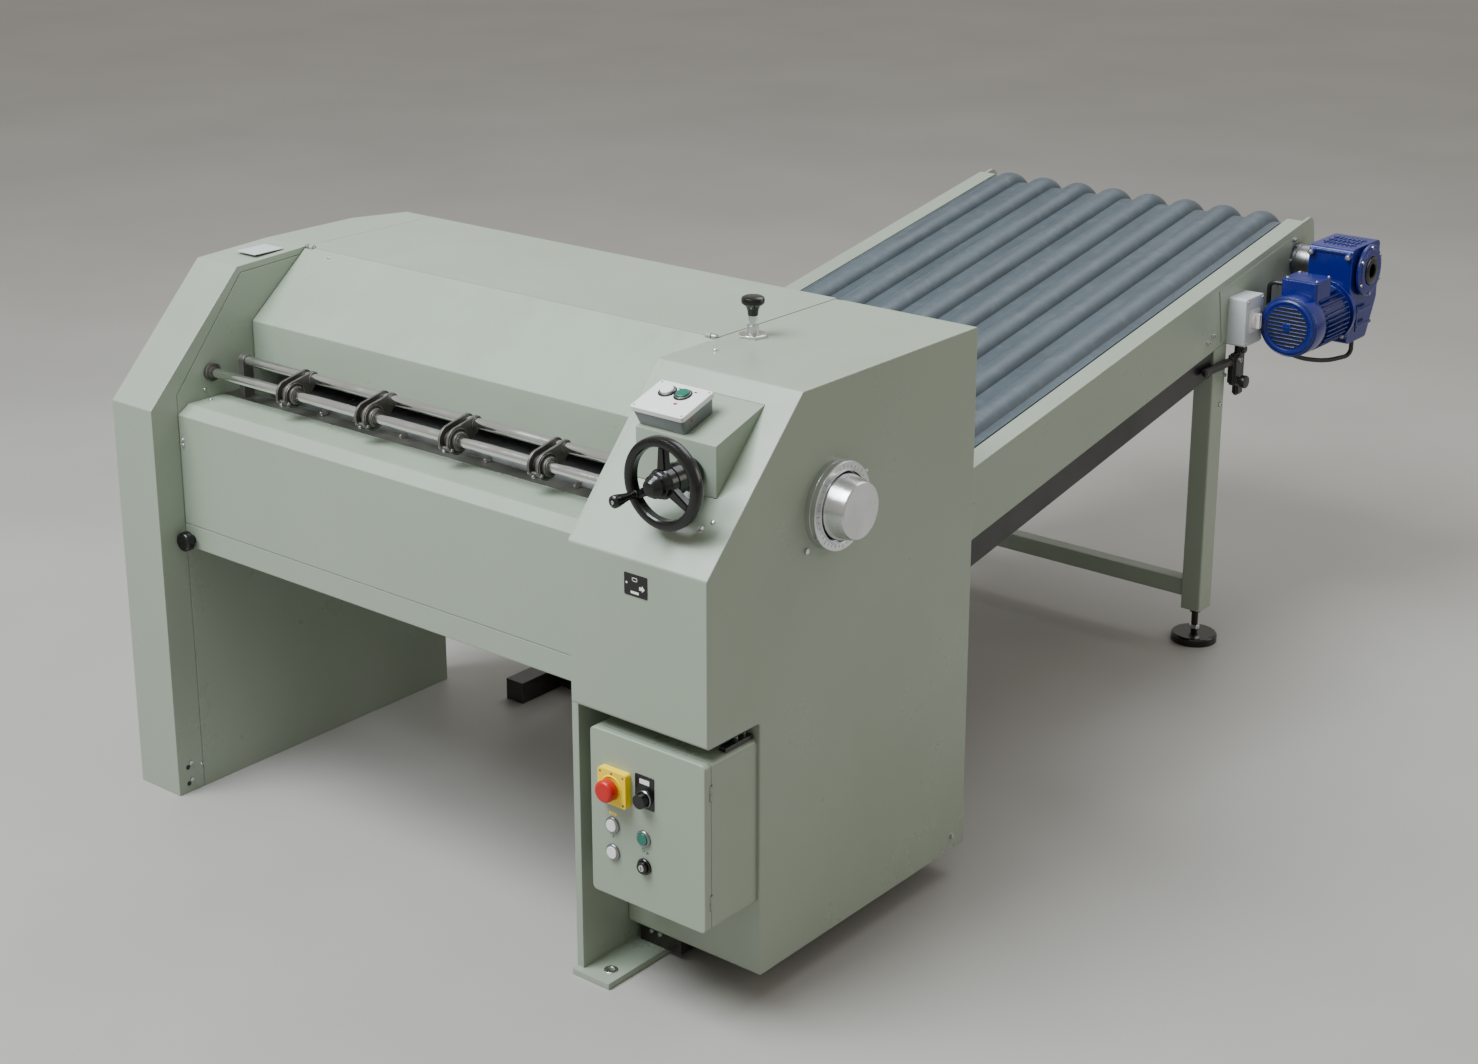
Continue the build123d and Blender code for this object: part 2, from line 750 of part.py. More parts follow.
motor_foot = 12.0
with BuildPart() as drive_motor:
    with BuildSketch(Plane.YZ.offset(motor_start)):
        with Locations((0, pinion_z)):
            Circle(drive_motor_d / 2)
    extrude(amount=drive_motor_length)
    with BuildSketch(Plane.XY.offset(pinion_z - drive_motor_d / 2 - motor_foot + 2)):
        with Locations((plate_outer, 0)):
            Rectangle(
                motor_start + drive_motor_length - plate_outer - 10,
                drive_motor_d,
                align=(Align.MIN, Align.CENTER),
            )
    extrude(amount=motor_foot)
    with BuildSketch(Plane.XY.offset(pinion_z - drive_motor_d / 2)):
        with Locations((motor_start + 15, 0)):
            Rectangle(drive_motor_length - 30, drive_motor_d * 0.7, align=(Align.MIN, Align.CENTER))
    extrude(amount=drive_motor_d * 0.2)
    with BuildSketch(Plane.YZ.offset(motor_start)):
        with Locations((0, pinion_z)):
            Circle(pinion_shaft_d / 2 + running_fit)
    extrude(amount=32, mode=Mode.SUBTRACT)
drive_motor.part.label = "drive_motor"
export_step(drive_motor.part, "parts/drive_motor.step")


# =====================================================================
# Controls on the drive cabinet
# =====================================================================
slope_rise = tan(radians(slope_angle))
console_sill = slope_foot_height + (console_front - front) * slope_rise
with BuildPart() as console:
    with BuildSketch(Plane.YZ.offset(console_left)):
        with BuildLine():
            Polyline(
                (console_front, console_sill),
                (console_front, console_height),
                (console_back, console_back_height),
                close=True,
            )
        make_face()
    extrude(amount=console_right - console_left)
    with BuildSketch(Plane.YZ.offset(console_left + sheet)):
        with BuildLine():
            Polyline(
                (console_front + sheet, console_sill + 2),
                (console_front + sheet, console_height - sheet),
                (console_back - 12, console_back_height - 7.5),
                close=True,
            )
        make_face()
    extrude(amount=console_right - console_left - 2 * sheet, mode=Mode.SUBTRACT)
    with BuildSketch(Plane.XZ.offset(-console_front)):
        with Locations((wheel_x, wheel_z)):
            Circle(wheel_shaft_d / 2 + running_fit)
    extrude(amount=-sheet, mode=Mode.SUBTRACT)
console.part.label = "console"
export_step(console.part, "parts/console.step")

wheel_plane = Plane.XZ.offset(-wheel_y)
with BuildPart() as handwheel:
    with BuildSketch(Plane.XY.offset(wheel_z)):
        with Locations((wheel_x + wheel_d / 2 - wheel_rim / 2, wheel_y)):
            Circle(wheel_rim / 2)
    revolve(axis=Axis((wheel_x, wheel_y, wheel_z), (0, 1, 0)))
    with BuildSketch(wheel_plane.offset(-9)):
        for angle in wheel_spoke_angles:
            reach = (wheel_d / 2 - wheel_rim / 2) / 2
            with Locations(
                (wheel_x + reach * cos(radians(angle)), wheel_z + reach * sin(radians(angle)))
            ):
                Rectangle(2 * reach, 14, rotation=angle)
    extrude(amount=9)
    with BuildSketch(wheel_plane.offset(12)):
        with Locations((wheel_x, wheel_z)):
            Circle(14)
    extrude(amount=-30, taper=-8)
    with BuildSketch(wheel_plane.offset(-18)):
        with Locations((wheel_x, wheel_z)):
            Circle(wheel_shaft_d / 2)
    extrude(amount=-(console_front - wheel_y - 18 + sheet + 14))
    grip_x = wheel_x + grip_reach * cos(radians(grip_angle))
    grip_z = wheel_z + grip_reach * sin(radians(grip_angle))
    with BuildSketch(wheel_plane.offset(-6)):
        with Locations((grip_x, grip_z)):
            Circle(9)
    extrude(amount=15)
    with BuildSketch(wheel_plane.offset(6)):
        with Locations((grip_x, grip_z)):
            Circle(4)
    extrude(amount=grip_length)
handwheel.part.label = "handwheel"
export_step(handwheel.part, "parts/handwheel.step")

with BuildPart() as handwheel_grip:
    with BuildSketch(Plane.XY.offset(grip_z)):
        with BuildLine():
            start_y = wheel_y - 10
            end_y = wheel_y - 6 - grip_length
            Polyline((grip_x + 4 + running_fit, end_y), (grip_x + 4 + running_fit, start_y))
            Line((grip_x + 4 + running_fit, start_y), (grip_x + 7, start_y))
            Spline(
                (grip_x + 7, start_y),
                (grip_x + 9, start_y - 15),
                (grip_x + 11.5, start_y - 36),
                (grip_x + 7, end_y),
            )
            Line((grip_x + 7, end_y), (grip_x + 4 + running_fit, end_y))
        make_face()
    revolve(axis=Axis((grip_x, wheel_y, grip_z), (0, 1, 0)))
handwheel_grip.part.label = "handwheel_grip"
export_step(handwheel_grip.part, "parts/handwheel_grip.step")

station_drop = station_depth / 2 * cos(radians(console_tilt)) + 2
station_y = console_front + station_drop
station_z = console_height + (station_y - console_front) * tan(radians(console_tilt))
station_plane = Plane(
    origin=(station_x, station_y, station_z),
    x_dir=(1, 0, 0),
    z_dir=(0, -sin(radians(console_tilt)), cos(radians(console_tilt))),
)
station_up = Axis(station_plane.origin, station_plane.z_dir)
station_stop_at = (-22.0, 16.0)
station_start_at = (12.0, 16.0)
with BuildPart() as station_case:
    with BuildSketch(station_plane):
        RectangleRounded(station_width - 14, station_depth - 12, 6)
    with BuildSketch(station_plane.offset(station_height - station_lid)):
        RectangleRounded(station_width - 4, station_depth - 4, 6)
    loft()
    with BuildSketch(station_plane.offset(station_height - station_lid)):
        RectangleRounded(station_width, station_depth, 5)
    extrude(amount=station_lid)
    fillet(station_case.faces().sort_by(station_up)[-1].edges(), 1.5)
    with BuildSketch(station_plane.offset(station_height)):
        with Locations(station_stop_at, station_start_at):
            Circle(station_button_d / 2 + device_fit)
    extrude(amount=-14, mode=Mode.SUBTRACT)
station_case.part.label = "station_case"
export_step(station_case.part, "parts/station_case.step")

for button_name, button_at in (
    ("station_stop_button", station_stop_at),
    ("station_start_button", station_start_at),
):
    with BuildPart() as station_button:
        with BuildSketch(station_plane.offset(station_height - 7)):
            with Locations(button_at):
                Circle(station_button_d / 2)
        extrude(amount=13)
        fillet(station_button.faces().sort_by(station_up)[-1].edges(), 1.5)
    station_button.part.label = button_name
    export_step(station_button.part, f"parts/{button_name}.step")

with BuildPart() as dial_base:
    with BuildSketch(Plane.YZ.offset(casing_outer)):
        with Locations((dial_y, dial_z)):
            Circle(dial_d / 2)
    extrude(amount=dial_base_thickness)
    fillet(dial_base.faces().sort_by(Axis.X)[-1].edges(), 2)
    with BuildSketch(Plane.YZ.offset(casing_outer)):
        with Locations((dial_y, dial_z)):
            Circle(wheel_shaft_d / 2 + running_fit)
    extrude(amount=dial_base_thickness, mode=Mode.SUBTRACT)
dial_base.part.label = "dial_base"
export_step(dial_base.part, "parts/dial_base.step")

dial_start = casing_outer + dial_base_thickness + 0.5
dial_taper = degrees(atan2((dial_knob_d - dial_knob_end_d) / 2, dial_knob_length))
with BuildPart() as dial_knob:
    with BuildSketch(Plane.YZ.offset(dial_start)):
        with Locations((dial_y, dial_z)):
            Circle(dial_knob_d / 2)
    extrude(amount=dial_knob_length, taper=dial_taper)
    fillet(dial_knob.faces().sort_by(Axis.X)[-1].edges(), 3)
    with BuildSketch(Plane.YZ.offset(casing_outer - 25)):
        with Locations((dial_y, dial_z)):
            Circle(wheel_shaft_d / 2)
    extrude(amount=dial_base_thickness + 25.5)
dial_knob.part.label = "dial_knob"
export_step(dial_knob.part, "parts/dial_knob.step")

plunger_flange_d = 35.0
plunger_flange = 6.0
plunger_collar_d = 22.0
plunger_collar = 22.0
plunger_knob_height = 18.0
with BuildPart() as plunger_base:
    with BuildSketch(Plane.XY.offset(cabinet_height)):
        with Locations((plunger_x, plunger_y)):
            Circle(plunger_flange_d / 2)
    extrude(amount=plunger_flange)
    with BuildSketch(Plane.XY.offset(cabinet_height)):
        with Locations((plunger_x, plunger_y)):
            Circle(plunger_collar_d / 2)
    extrude(amount=plunger_collar)
    with BuildSketch(Plane.XY.offset(cabinet_height)):
        with Locations((plunger_x, plunger_y)):
            Circle(plunger_stem_d / 2 + running_fit)
    extrude(amount=plunger_collar, mode=Mode.SUBTRACT)
plunger_base.part.label = "plunger_base"
export_step(plunger_base.part, "parts/plunger_base.step")

with BuildPart() as plunger_knob:
    with BuildSketch(Plane.XY.offset(cabinet_height - 40)):
        with Locations((plunger_x, plunger_y)):
            Circle(plunger_stem_d / 2)
    extrude(amount=40 + plunger_height - plunger_knob_height)
    with BuildSketch(Plane.XY.offset(cabinet_height + plunger_height - plunger_knob_height)):
        with Locations((plunger_x, plunger_y)):
            Circle(plunger_knob_d / 2)
    extrude(amount=plunger_knob_height)
    fillet(plunger_knob.edges().filter_by(GeomType.CIRCLE).sort_by(Axis.Z)[-1], 6)
plunger_knob.part.label = "plunger_knob"
export_step(plunger_knob.part, "parts/plunger_knob.step")

lock_plane = Plane.XZ.offset(-table_front)
with BuildPart() as lock_knob:
    with BuildSketch(lock_plane.offset(-tie_wall - 8)):
        with Locations((lock_x, lock_z)):
            Circle(5)
    extrude(amount=tie_wall + 9)
    with BuildSketch(lock_plane.offset(0.5)):
        with Locations((lock_x, lock_z)):
            Circle(9)
    extrude(amount=14)
    with BuildSketch(lock_plane.offset(12)):
        with Locations((lock_x, lock_z)):
            Circle(lock_knob_d / 2)
    extrude(amount=17)
    fillet(lock_knob.edges().filter_by(GeomType.CIRCLE).sort_by(Axis.Y)[0], 5)
lock_knob.part.label = "lock_knob"
export_step(lock_knob.part, "parts/lock_knob.step")

screw_d = 11.0
screw_head = 4.0
with BuildPart() as casing_screws:
    with BuildSketch(Plane.YZ.offset(casing_outer)):
        with Locations((dial_y - 75, dial_z - 65), (back - 40, casing_clearance + 30)):
            RegularPolygon(screw_d / 2, 6)
    extrude(amount=screw_head)
    with BuildSketch(Plane.YZ.offset(-half_width)):
        with Locations((front + 32, 28), (front + 32, 66)):
            RegularPolygon(4.5, 6)
    extrude(amount=3)
casing_screws.part.label = "casing_screws"
export_step(casing_screws.part, "parts/casing_screws.step")


# =====================================================================
# Electrical box
# =====================================================================
box_height = box_top - box_bottom
box_x = (box_left + box_right) / 2
box_z = (box_bottom + box_top) / 2
box_corner = 10.0
# The door hangs on two small pin hinges let into the corner of the box.
door_hinge_x = box_x + box_width / 2
door_knuckle_d = 6.0
door_pin_d = 2.6
knuckle_length = 14.0
knuckle_gap = 0.4
hinge_levels = (box_z - box_height / 2 + 40, box_z + box_height / 2 - 40 - 2 * knuckle_length)
with BuildPart() as box_body:
    with BuildSketch(Plane.XZ.offset(-box_back)):
        with Locations((box_x, box_z)):
            RectangleRounded(box_width, box_height, box_corner)
    extrude(amount=box_back - box_front)
    with BuildSketch(Plane.XZ.offset(-box_back + box_wall)):
        with Locations((box_x, box_z)):
            RectangleRounded(
                box_width - 2 * box_wall, box_height - 2 * box_wall, box_corner - box_wall
            )
    extrude(amount=box_back - box_front, mode=Mode.SUBTRACT)
    for level in hinge_levels:
        with BuildSketch(Plane.XY.offset(level + knuckle_length - knuckle_gap)):
            with Locations((door_hinge_x, door_back)):
                Circle(door_knuckle_d / 2 + knuckle_gap)
        extrude(amount=knuckle_length + 2 * knuckle_gap, mode=Mode.SUBTRACT)
        with BuildSketch(Plane.XY.offset(level)):
            with Locations((door_hinge_x, door_back)):
                Circle(door_knuckle_d / 2)
        extrude(amount=knuckle_length - knuckle_gap)
        with BuildSketch(Plane.XY.offset(level)):
            with Locations((door_hinge_x, door_back)):
                Circle(door_pin_d / 2)
        extrude(amount=2 * knuckle_length - 1)
box_body.part.label = "box_body"
export_step(box_body.part, "parts/box_body.step")

estop_at = (box_left + 61, box_bottom + 218)
selector_at = (box_left + 125, box_bottom + 213)
upper_button_at = (box_left + 51, box_bottom + 140)
lower_button_at = (box_left + 51, box_bottom + 88)
start_button_at = (box_left + 122, box_bottom + 137)
key_switch_at = (box_left + 123, box_bottom + 84)
door_plane = Plane.XZ.offset(-door_front)
with BuildPart() as box_door:
    with BuildSketch(Plane.XZ.offset(-door_back)):
        with Locations((box_x, box_z)):
            RectangleRounded(box_width, box_height, box_corner)
    extrude(amount=door_thickness)
    fillet(box_door.faces().sort_by(Axis.Y)[0].edges(), edge_round)
    with BuildSketch(Plane.XZ.offset(-door_back)):
        with Locations((box_x, box_z)):
            RectangleRounded(
                box_width - 2 * box_wall, box_height - 2 * box_wall, box_corner - box_wall
            )
    extrude(amount=door_thickness - box_wall, mode=Mode.SUBTRACT)
    with BuildSketch(door_plane):
        with Locations(
            estop_at,
            selector_at,
            upper_button_at,
            lower_button_at,
            start_button_at,
            key_switch_at,
        ):
            Circle(device_hole_d / 2 + device_fit)
    extrude(amount=-door_thickness, mode=Mode.SUBTRACT)
    for level in hinge_levels:
        with BuildSketch(Plane.XY.offset(level - knuckle_gap)):
            with Locations((door_hinge_x, door_back)):
                Circle(door_knuckle_d / 2 + knuckle_gap)
        extrude(amount=knuckle_length + knuckle_gap, mode=Mode.SUBTRACT)
        with BuildSketch(Plane.XY.offset(level + knuckle_length)):
            with Locations((door_hinge_x, door_back)):
                Circle(door_knuckle_d / 2)
        extrude(amount=knuckle_length)
        with BuildSketch(Plane.XY.offset(level)):
            with Locations((door_hinge_x, door_back)):
                Circle(door_pin_d / 2 + running_fit)
        extrude(amount=2 * knuckle_length, mode=Mode.SUBTRACT)
box_door.part.label = "box_door"
export_step(box_door.part, "parts/box_door.step")

# Two angle brackets on the box and the block that carries the casing above its foot plate.
bracket_width = 16.0
bracket_length = 72.0
carrier_width = 96.0
carrier_depth = 66.0
carrier_front = -212.0
with BuildPart() as box_brackets:
    with BuildSketch(Plane.XY.offset(box_top)):
        with Locations((box_left + 40, box_back - 4), (box_right - 14, box_back - 4)):
            Rectangle(bracket_width, bracket_length, align=(Align.CENTER, Align.MAX))
    extrude(amount=8)
    with BuildSketch(Plane.XY.offset(foot_thickness)):
        with Locations((plate_outer + 12, carrier_front)):
            Rectangle(carrier_width, carrier_depth, align=(Align.MIN, Align.MIN))
    extrude(amount=casing_clearance - foot_thickness)
box_brackets.part.label = "box_brackets"
export_step(box_brackets.part, "parts/box_brackets.step")

estop_size = 64.0
estop_base_depth = 14.0
with BuildPart() as estop_base:
    with BuildSketch(door_plane):
        with Locations(estop_at):
            RectangleRounded(estop_size, estop_size, 5)
            Circle(8 + device_fit, mode=Mode.SUBTRACT)
    extrude(amount=estop_base_depth)
estop_base.part.label = "estop_base"
export_step(estop_base.part, "parts/estop_base.step")

estop_head_d = 40.0
estop_travel = 5.0
with BuildPart() as estop_head:
    with BuildSketch(door_plane.offset(-10)):
        with Locations(estop_at):
            Circle(8)
    extrude(amount=10 + estop_base_depth + estop_travel + 2)
    with BuildSketch(door_plane.offset(estop_base_depth + estop_travel + 1)):
        with Locations(estop_at):
            Circle(estop_head_d / 2)
    extrude(amount=18)
    fillet(estop_head.edges().filter_by(GeomType.CIRCLE).sort_by(Axis.Y)[0], 6)
estop_head.part.label = "estop_head"
export_step(estop_head.part, "parts/estop_head.step")

with BuildPart() as selector_knob:
    with BuildSketch(door_plane.offset(-10)):
        with Locations(selector_at):
            Circle(device_hole_d / 2)
    extrude(amount=14)
    with BuildSketch(door_plane.offset(3.5)):
        with Locations(selector_at):
            Circle(button_d / 2)
    extrude(amount=14, taper=4)
selector_knob.part.label = "selector_knob"
export_step(selector_knob.part, "parts/selector_knob.step")

for device_name, device_at, device_height in (
    ("upper_button", upper_button_at, 7.0),
    ("lower_button", lower_button_at, 7.0),
    ("start_button", start_button_at, 7.0),
    ("key_switch", key_switch_at, 10.0),
):
    with BuildPart() as door_device:
        with BuildSketch(door_plane.offset(-10)):
            with Locations(device_at):
                Circle(device_hole_d / 2)
        extrude(amount=10 + device_height)
        fillet(door_device.faces().sort_by(Axis.Y)[0].edges(), 1)
    door_device.part.label = device_name
    export_step(door_device.part, f"parts/{device_name}.step")


# =====================================================================
# Delivery conveyor, drawn along its incline
# =====================================================================
rail_start = -drum_centres - rail_tail
rail_length = rail_head - rail_start
shaft_room = 12.5
bed_thickness = 3.0
bed_end_gap = 110.0  # clear of each drum
with BuildPart() as conveyor_rails:
    for outer, side in ((conveyor_left, 1), (conveyor_right, -1)):
        with BuildSketch(side_plane.offset(outer)):
            with Locations((rail_start, rail_bottom)):
                Rectangle(rail_length, rail_depth, align=(Align.MIN, Align.MIN))
            with Locations((0, 0), (-drum_centres, 0)):
                Circle(drum_shaft_d / 2 + shaft_room, mode=Mode.SUBTRACT)
        extrude(amount=side * rail_sheet)
        with BuildSketch(side_plane.offset(outer)):
            with Locations((rail_start, rail_top), (rail_start, rail_bottom + rail_sheet)):
                Rectangle(rail_length, rail_sheet, align=(Align.MIN, Align.MAX))
        extrude(amount=side * rail_flange)
    with BuildSketch(side_plane.offset(conveyor_left + rail_sheet)):
        with Locations((-drum_centres + bed_end_gap, drum_radius - 1)):
            Rectangle(drum_centres - 2 * bed_end_gap, bed_thickness, align=(Align.MIN, Align.MAX))
    extrude(amount=conveyor_right - conveyor_left - 2 * rail_sheet)
conveyor_rails.part.label = "conveyor_rails"
export_step(conveyor_rails.part, "parts/conveyor_rails.step")

# The half-round ribs run lengthwise, all the way round the belt loop.
head_axis = Axis((0, head_y, head_z), (-1, 0, 0))
tail_centre = conveyor_plane.from_local_coords((0, -drum_centres, 0))
tail_axis = Axis(tail_centre, (1, 0, 0))
with BuildPart() as conveyor_belt:
    with BuildSketch(side_plane.offset(belt_left)):
        with Locations((-drum_centres / 2, 0)):
            SlotCenterToCenter(drum_centres, 2 * belt_radius)
            SlotCenterToCenter(drum_centres, 2 * drum_radius, mode=Mode.SUBTRACT)
    extrude(amount=belt_right - belt_left)
    for number in range(rib_count):
        rib_x = conveyor_middle + (number - (rib_count - 1) / 2) * rib_pitch
        for run_start, side, turn_axis in (
            (0, 1, head_axis),
            (-drum_centres, -1, tail_axis),
        ):
            rib_plane = Plane(
                origin=conveyor_plane.from_local_coords((rib_x, run_start, 0)),
                x_dir=(side, 0, 0),
                z_dir=conveyor_plane.y_dir * -side,
            )
            with BuildSketch(rib_plane):
                with BuildLine():
                    Polyline(
                        (-rib_width / 2, side * belt_radius),
                        (-rib_width / 2, side * (belt_radius - 1)),
                        (rib_width / 2, side * (belt_radius - 1)),
                        (rib_width / 2, side * belt_radius),
                    )
                    ThreePointArc(
                        (rib_width / 2, side * belt_radius),
                        (0, side * (belt_radius + rib_height)),
                        (-rib_width / 2, side * belt_radius),
                    )
                make_face()
            extrude(amount=drum_centres)
            with BuildSketch(rib_plane):
                with BuildLine():
                    Polyline(
                        (-rib_width / 2, belt_radius),
                        (-rib_width / 2, belt_radius - 1),
                        (rib_width / 2, belt_radius - 1),
                        (rib_width / 2, belt_radius),
                    )
                    ThreePointArc(
                        (rib_width / 2, belt_radius),
                        (0, belt_radius + rib_height),
                        (-rib_width / 2, belt_radius),
                    )
                make_face()
            revolve(axis=turn_axis, revolution_arc=180)
conveyor_belt.part.label = "conveyor_belt"
export_step(conveyor_belt.part, "parts/conveyor_belt.step")

head_plate_gap = 1.0
tail_plate_length = 120.0
tail_plate_height = 130.0
with BuildPart() as bearing_plates:
    for plate_x in (
        conveyor_left + rail_sheet + head_plate_gap,
        conveyor_right - rail_sheet - head_plate_gap - head_plate_thickness,
    ):
        with BuildSketch(side_plane.offset(plate_x)) as head_plate:
            with Locations((-60, rail_bottom + rail_sheet + 1)):
                Rectangle(
                    60 + head_plate_reach,
                    rail_depth - 2 * rail_sheet - 2,
                    align=(Align.MIN, Align.MIN),
                )
            fillet(head_plate.vertices().group_by(Axis.X)[-1], 22)
            with Locations((-drum_centres, 0)):
                RectangleRounded(tail_plate_length, tail_plate_height, 20)
            with Locations((0, 0), (-drum_centres, 0)):
                Circle(drum_shaft_d / 2 + running_fit, mode=Mode.SUBTRACT)
        extrude(amount=head_plate_thickness)
bearing_plates.part.label = "bearing_plates"
export_step(bearing_plates.part, "parts/bearing_plates.step")

drum_r = drum_radius - drum_gap
for drum_name, drum_at, shaft_right in (
    ("head_drum", 0.0, gearbox_right - 12.0),
    ("tail_drum", -drum_centres, conveyor_right + 12.0),
):
    with BuildPart() as drum:
        with BuildSketch(side_plane.offset(belt_left)):
            with Locations((drum_at, 0)):
                Circle(drum_r)
        extrude(amount=belt_right - belt_left)
        with BuildSketch(side_plane.offset(conveyor_left - 12)):
            with Locations((drum_at, 0)):
                Circle(drum_shaft_d / 2)
        extrude(amount=shaft_right - conveyor_left + 12)
    drum.part.label = drum_name
    export_step(drum.part, f"parts/{drum_name}.step")

tray_gap = 0.5
with BuildPart() as return_tray:
    with BuildSketch(side_plane.offset(conveyor_left + 2)):
        with Locations((rail_start, rail_bottom - tray_gap)):
            Rectangle(tray_end - rail_start, tray_depth, align=(Align.MIN, Align.MAX))
    extrude(amount=conveyor_right - conveyor_left - 4)
    with BuildSketch(side_plane.offset(conveyor_left + 2 + sheet)):
        with Locations((rail_start, rail_bottom - tray_gap)):
            Rectangle(tray_end - rail_start, tray_depth - sheet, align=(Align.MIN, Align.MAX))
    extrude(amount=conveyor_right - conveyor_left - 4 - 2 * sheet, mode=Mode.SUBTRACT)
return_tray.part.label = "return_tray"
export_step(return_tray.part, "parts/return_tray.step")

leg_wall = 3.0
leg_top_gap = 1.0
leg_left_x = conveyor_left + leg_width / 2
leg_right_x = conveyor_right - leg_width / 2
with BuildPart() as leg_frame:
    with BuildSketch(Plane.XY.offset(leg_bottom)):
        with Locations((leg_left_x, leg_y), (leg_right_x, leg_y)):
            RectangleRounded(leg_width, leg_depth, 4)
    extrude(amount=head_z - leg_bottom)
    with BuildSketch(Plane.XY.offset(leg_bottom + leg_wall)):
        with Locations((leg_left_x, leg_y), (leg_right_x, leg_y)):
            Rectangle(leg_width - 2 * leg_wall, leg_depth - 2 * leg_wall)
    extrude(amount=head_z - leg_bottom, mode=Mode.SUBTRACT)
    with BuildSketch(Plane.XY.offset(leg_bottom)):
        with Locations((leg_left_x, leg_y), (leg_right_x, leg_y)):
            Circle(foot_stem_d / 2 + running_fit)
    extrude(amount=leg_wall, mode=Mode.SUBTRACT)
    with BuildSketch(Plane.YZ.offset(leg_left_x + leg_width / 2)):
        with Locations((leg_y, crossbar_bottom + crossbar / 2)):
            RectangleRounded(crossbar, crossbar, 4)
    extrude(amount=leg_right_x - leg_left_x - leg_width)
    split(
        bisect_by=Plane(
            origin=conveyor_plane.from_local_coords((0, 0, rail_bottom - leg_top_gap)),
            z_dir=conveyor_plane.z_dir,
        ),
        keep=Keep.BOTTOM,
    )
leg_frame.part.label = "leg_frame"
export_step(leg_frame.part, "parts/leg_frame.step")

foot_disc = 20.0
with BuildPart() as levelling_feet:
    with BuildSketch(Plane.XY):
        with Locations((leg_left_x, leg_y), (leg_right_x, leg_y)):
            Circle(foot_disc_d / 2)
    extrude(amount=foot_disc)
    fillet(levelling_feet.faces().sort_by(Axis.Z)[-2:].edges(), 6)
    with BuildSketch(Plane.XY.offset(foot_disc)):
        with Locations((leg_left_x, leg_y), (leg_right_x, leg_y)):
            Circle(foot_stem_d / 2)
    extrude(amount=leg_bottom - foot_disc + leg_wall + 20)
    with BuildSketch(Plane.XY.offset(leg_bottom - 12.5)):
        with Locations((leg_left_x, leg_y), (leg_right_x, leg_y)):
            RegularPolygon(14, 6)
    extrude(amount=12)
levelling_feet.part.label = "levelling_feet"
export_step(levelling_feet.part, "parts/levelling_feet.step")

# The tail of the conveyor stands on a floor skid, a cross tube and two uprights.
upright_y = 560.0
upright_left_x = conveyor_left + skid / 2
upright_right_x = conveyor_right - skid / 2
with BuildPart() as tail_stand:
    with BuildSketch(Plane.XY):
        with Locations((skid_x, back + 5)):
            Rectangle(skid, skid_length, align=(Align.CENTER, Align.MIN))
        with Locations((skid_x, upright_y)):
            Rectangle(
                upright_right_x + skid / 2 - skid_x, skid, align=(Align.MIN, Align.CENTER)
            )
    extrude(amount=skid)
    with BuildSketch(Plane.XY.offset(skid)):
        with Locations((upright_left_x, upright_y), (upright_right_x, upright_y)):
            Rectangle(skid, skid)
    extrude(amount=head_z - skid)
    split(
        bisect_by=Plane(
            origin=conveyor_plane.from_local_coords(
                (0, 0, rail_bottom - tray_gap - tray_depth - leg_top_gap)
            ),
            z_dir=conveyor_plane.z_dir,
        ),
        keep=Keep.BOTTOM,
    )
tail_stand.part.label = "tail_stand"
export_step(tail_stand.part, "parts/tail_stand.step")


# =====================================================================
# Conveyor drive
# =====================================================================
gearbox_hub_d = 76.0
gland_d = 20.0
gland_length = 12.0
lead_exit_x = motor_x - 45 - gland_length
lead_exit_y = (terminal_box_front + terminal_box_back) / 2
lead_exit_z = 868.0
lead_entry_x = 850.0
lead_entry_y = 2092.0
gearbox_mouth_d = 70.0
gearbox_mouth_depth = 14.0
with BuildPart() as gearbox:
    with BuildSketch(Plane.YZ.offset(gearbox_left)) as gearbox_side:
        with BuildLine():
            Polyline(
                (gearbox_front, gearbox_bottom),
                (gearbox_front, gearbox_top),
                (gearbox_back, gearbox_top),
                (gearbox_back, gearbox_bottom + 90),
                (gearbox_back - 45, gearbox_bottom),
                close=True,
            )
        make_face()
        fillet(gearbox_side.vertices(), 12)
    extrude(amount=gearbox_right - gearbox_left)
    with BuildSketch(Plane.YZ.offset(gearbox_right)):
        with Locations((head_y, head_z)):
            Circle(gearbox_mouth_d / 2 + 12)
    extrude(amount=8)
    with BuildSketch(Plane.YZ.offset(gearbox_left)):
        with Locations((head_y, head_z)):
            Circle(gearbox_hub_d / 2)
    extrude(amount=-(gearbox_left - conveyor_right - 1))
    with BuildSketch(Plane.YZ.offset(conveyor_right)):
        with Locations((head_y, head_z)):
            Circle(drum_shaft_d / 2 + running_fit)
    extrude(amount=gearbox_right + 8 - conveyor_right, mode=Mode.SUBTRACT)
    with BuildSketch(Plane.YZ.offset(gearbox_right + 8)):
        with Locations((head_y, head_z)):
            Circle(gearbox_mouth_d / 2)
    extrude(amount=-gearbox_mouth_depth, mode=Mode.SUBTRACT)
    with BuildSketch(Plane.XY.offset(gearbox_bottom)):
        with Locations((lead_entry_x, lead_entry_y)):
            Circle(gland_d / 2)
    extrude(amount=-gland_length)
gearbox.part.label = "gearbox"
export_step(gearbox.part, "parts/gearbox.step")

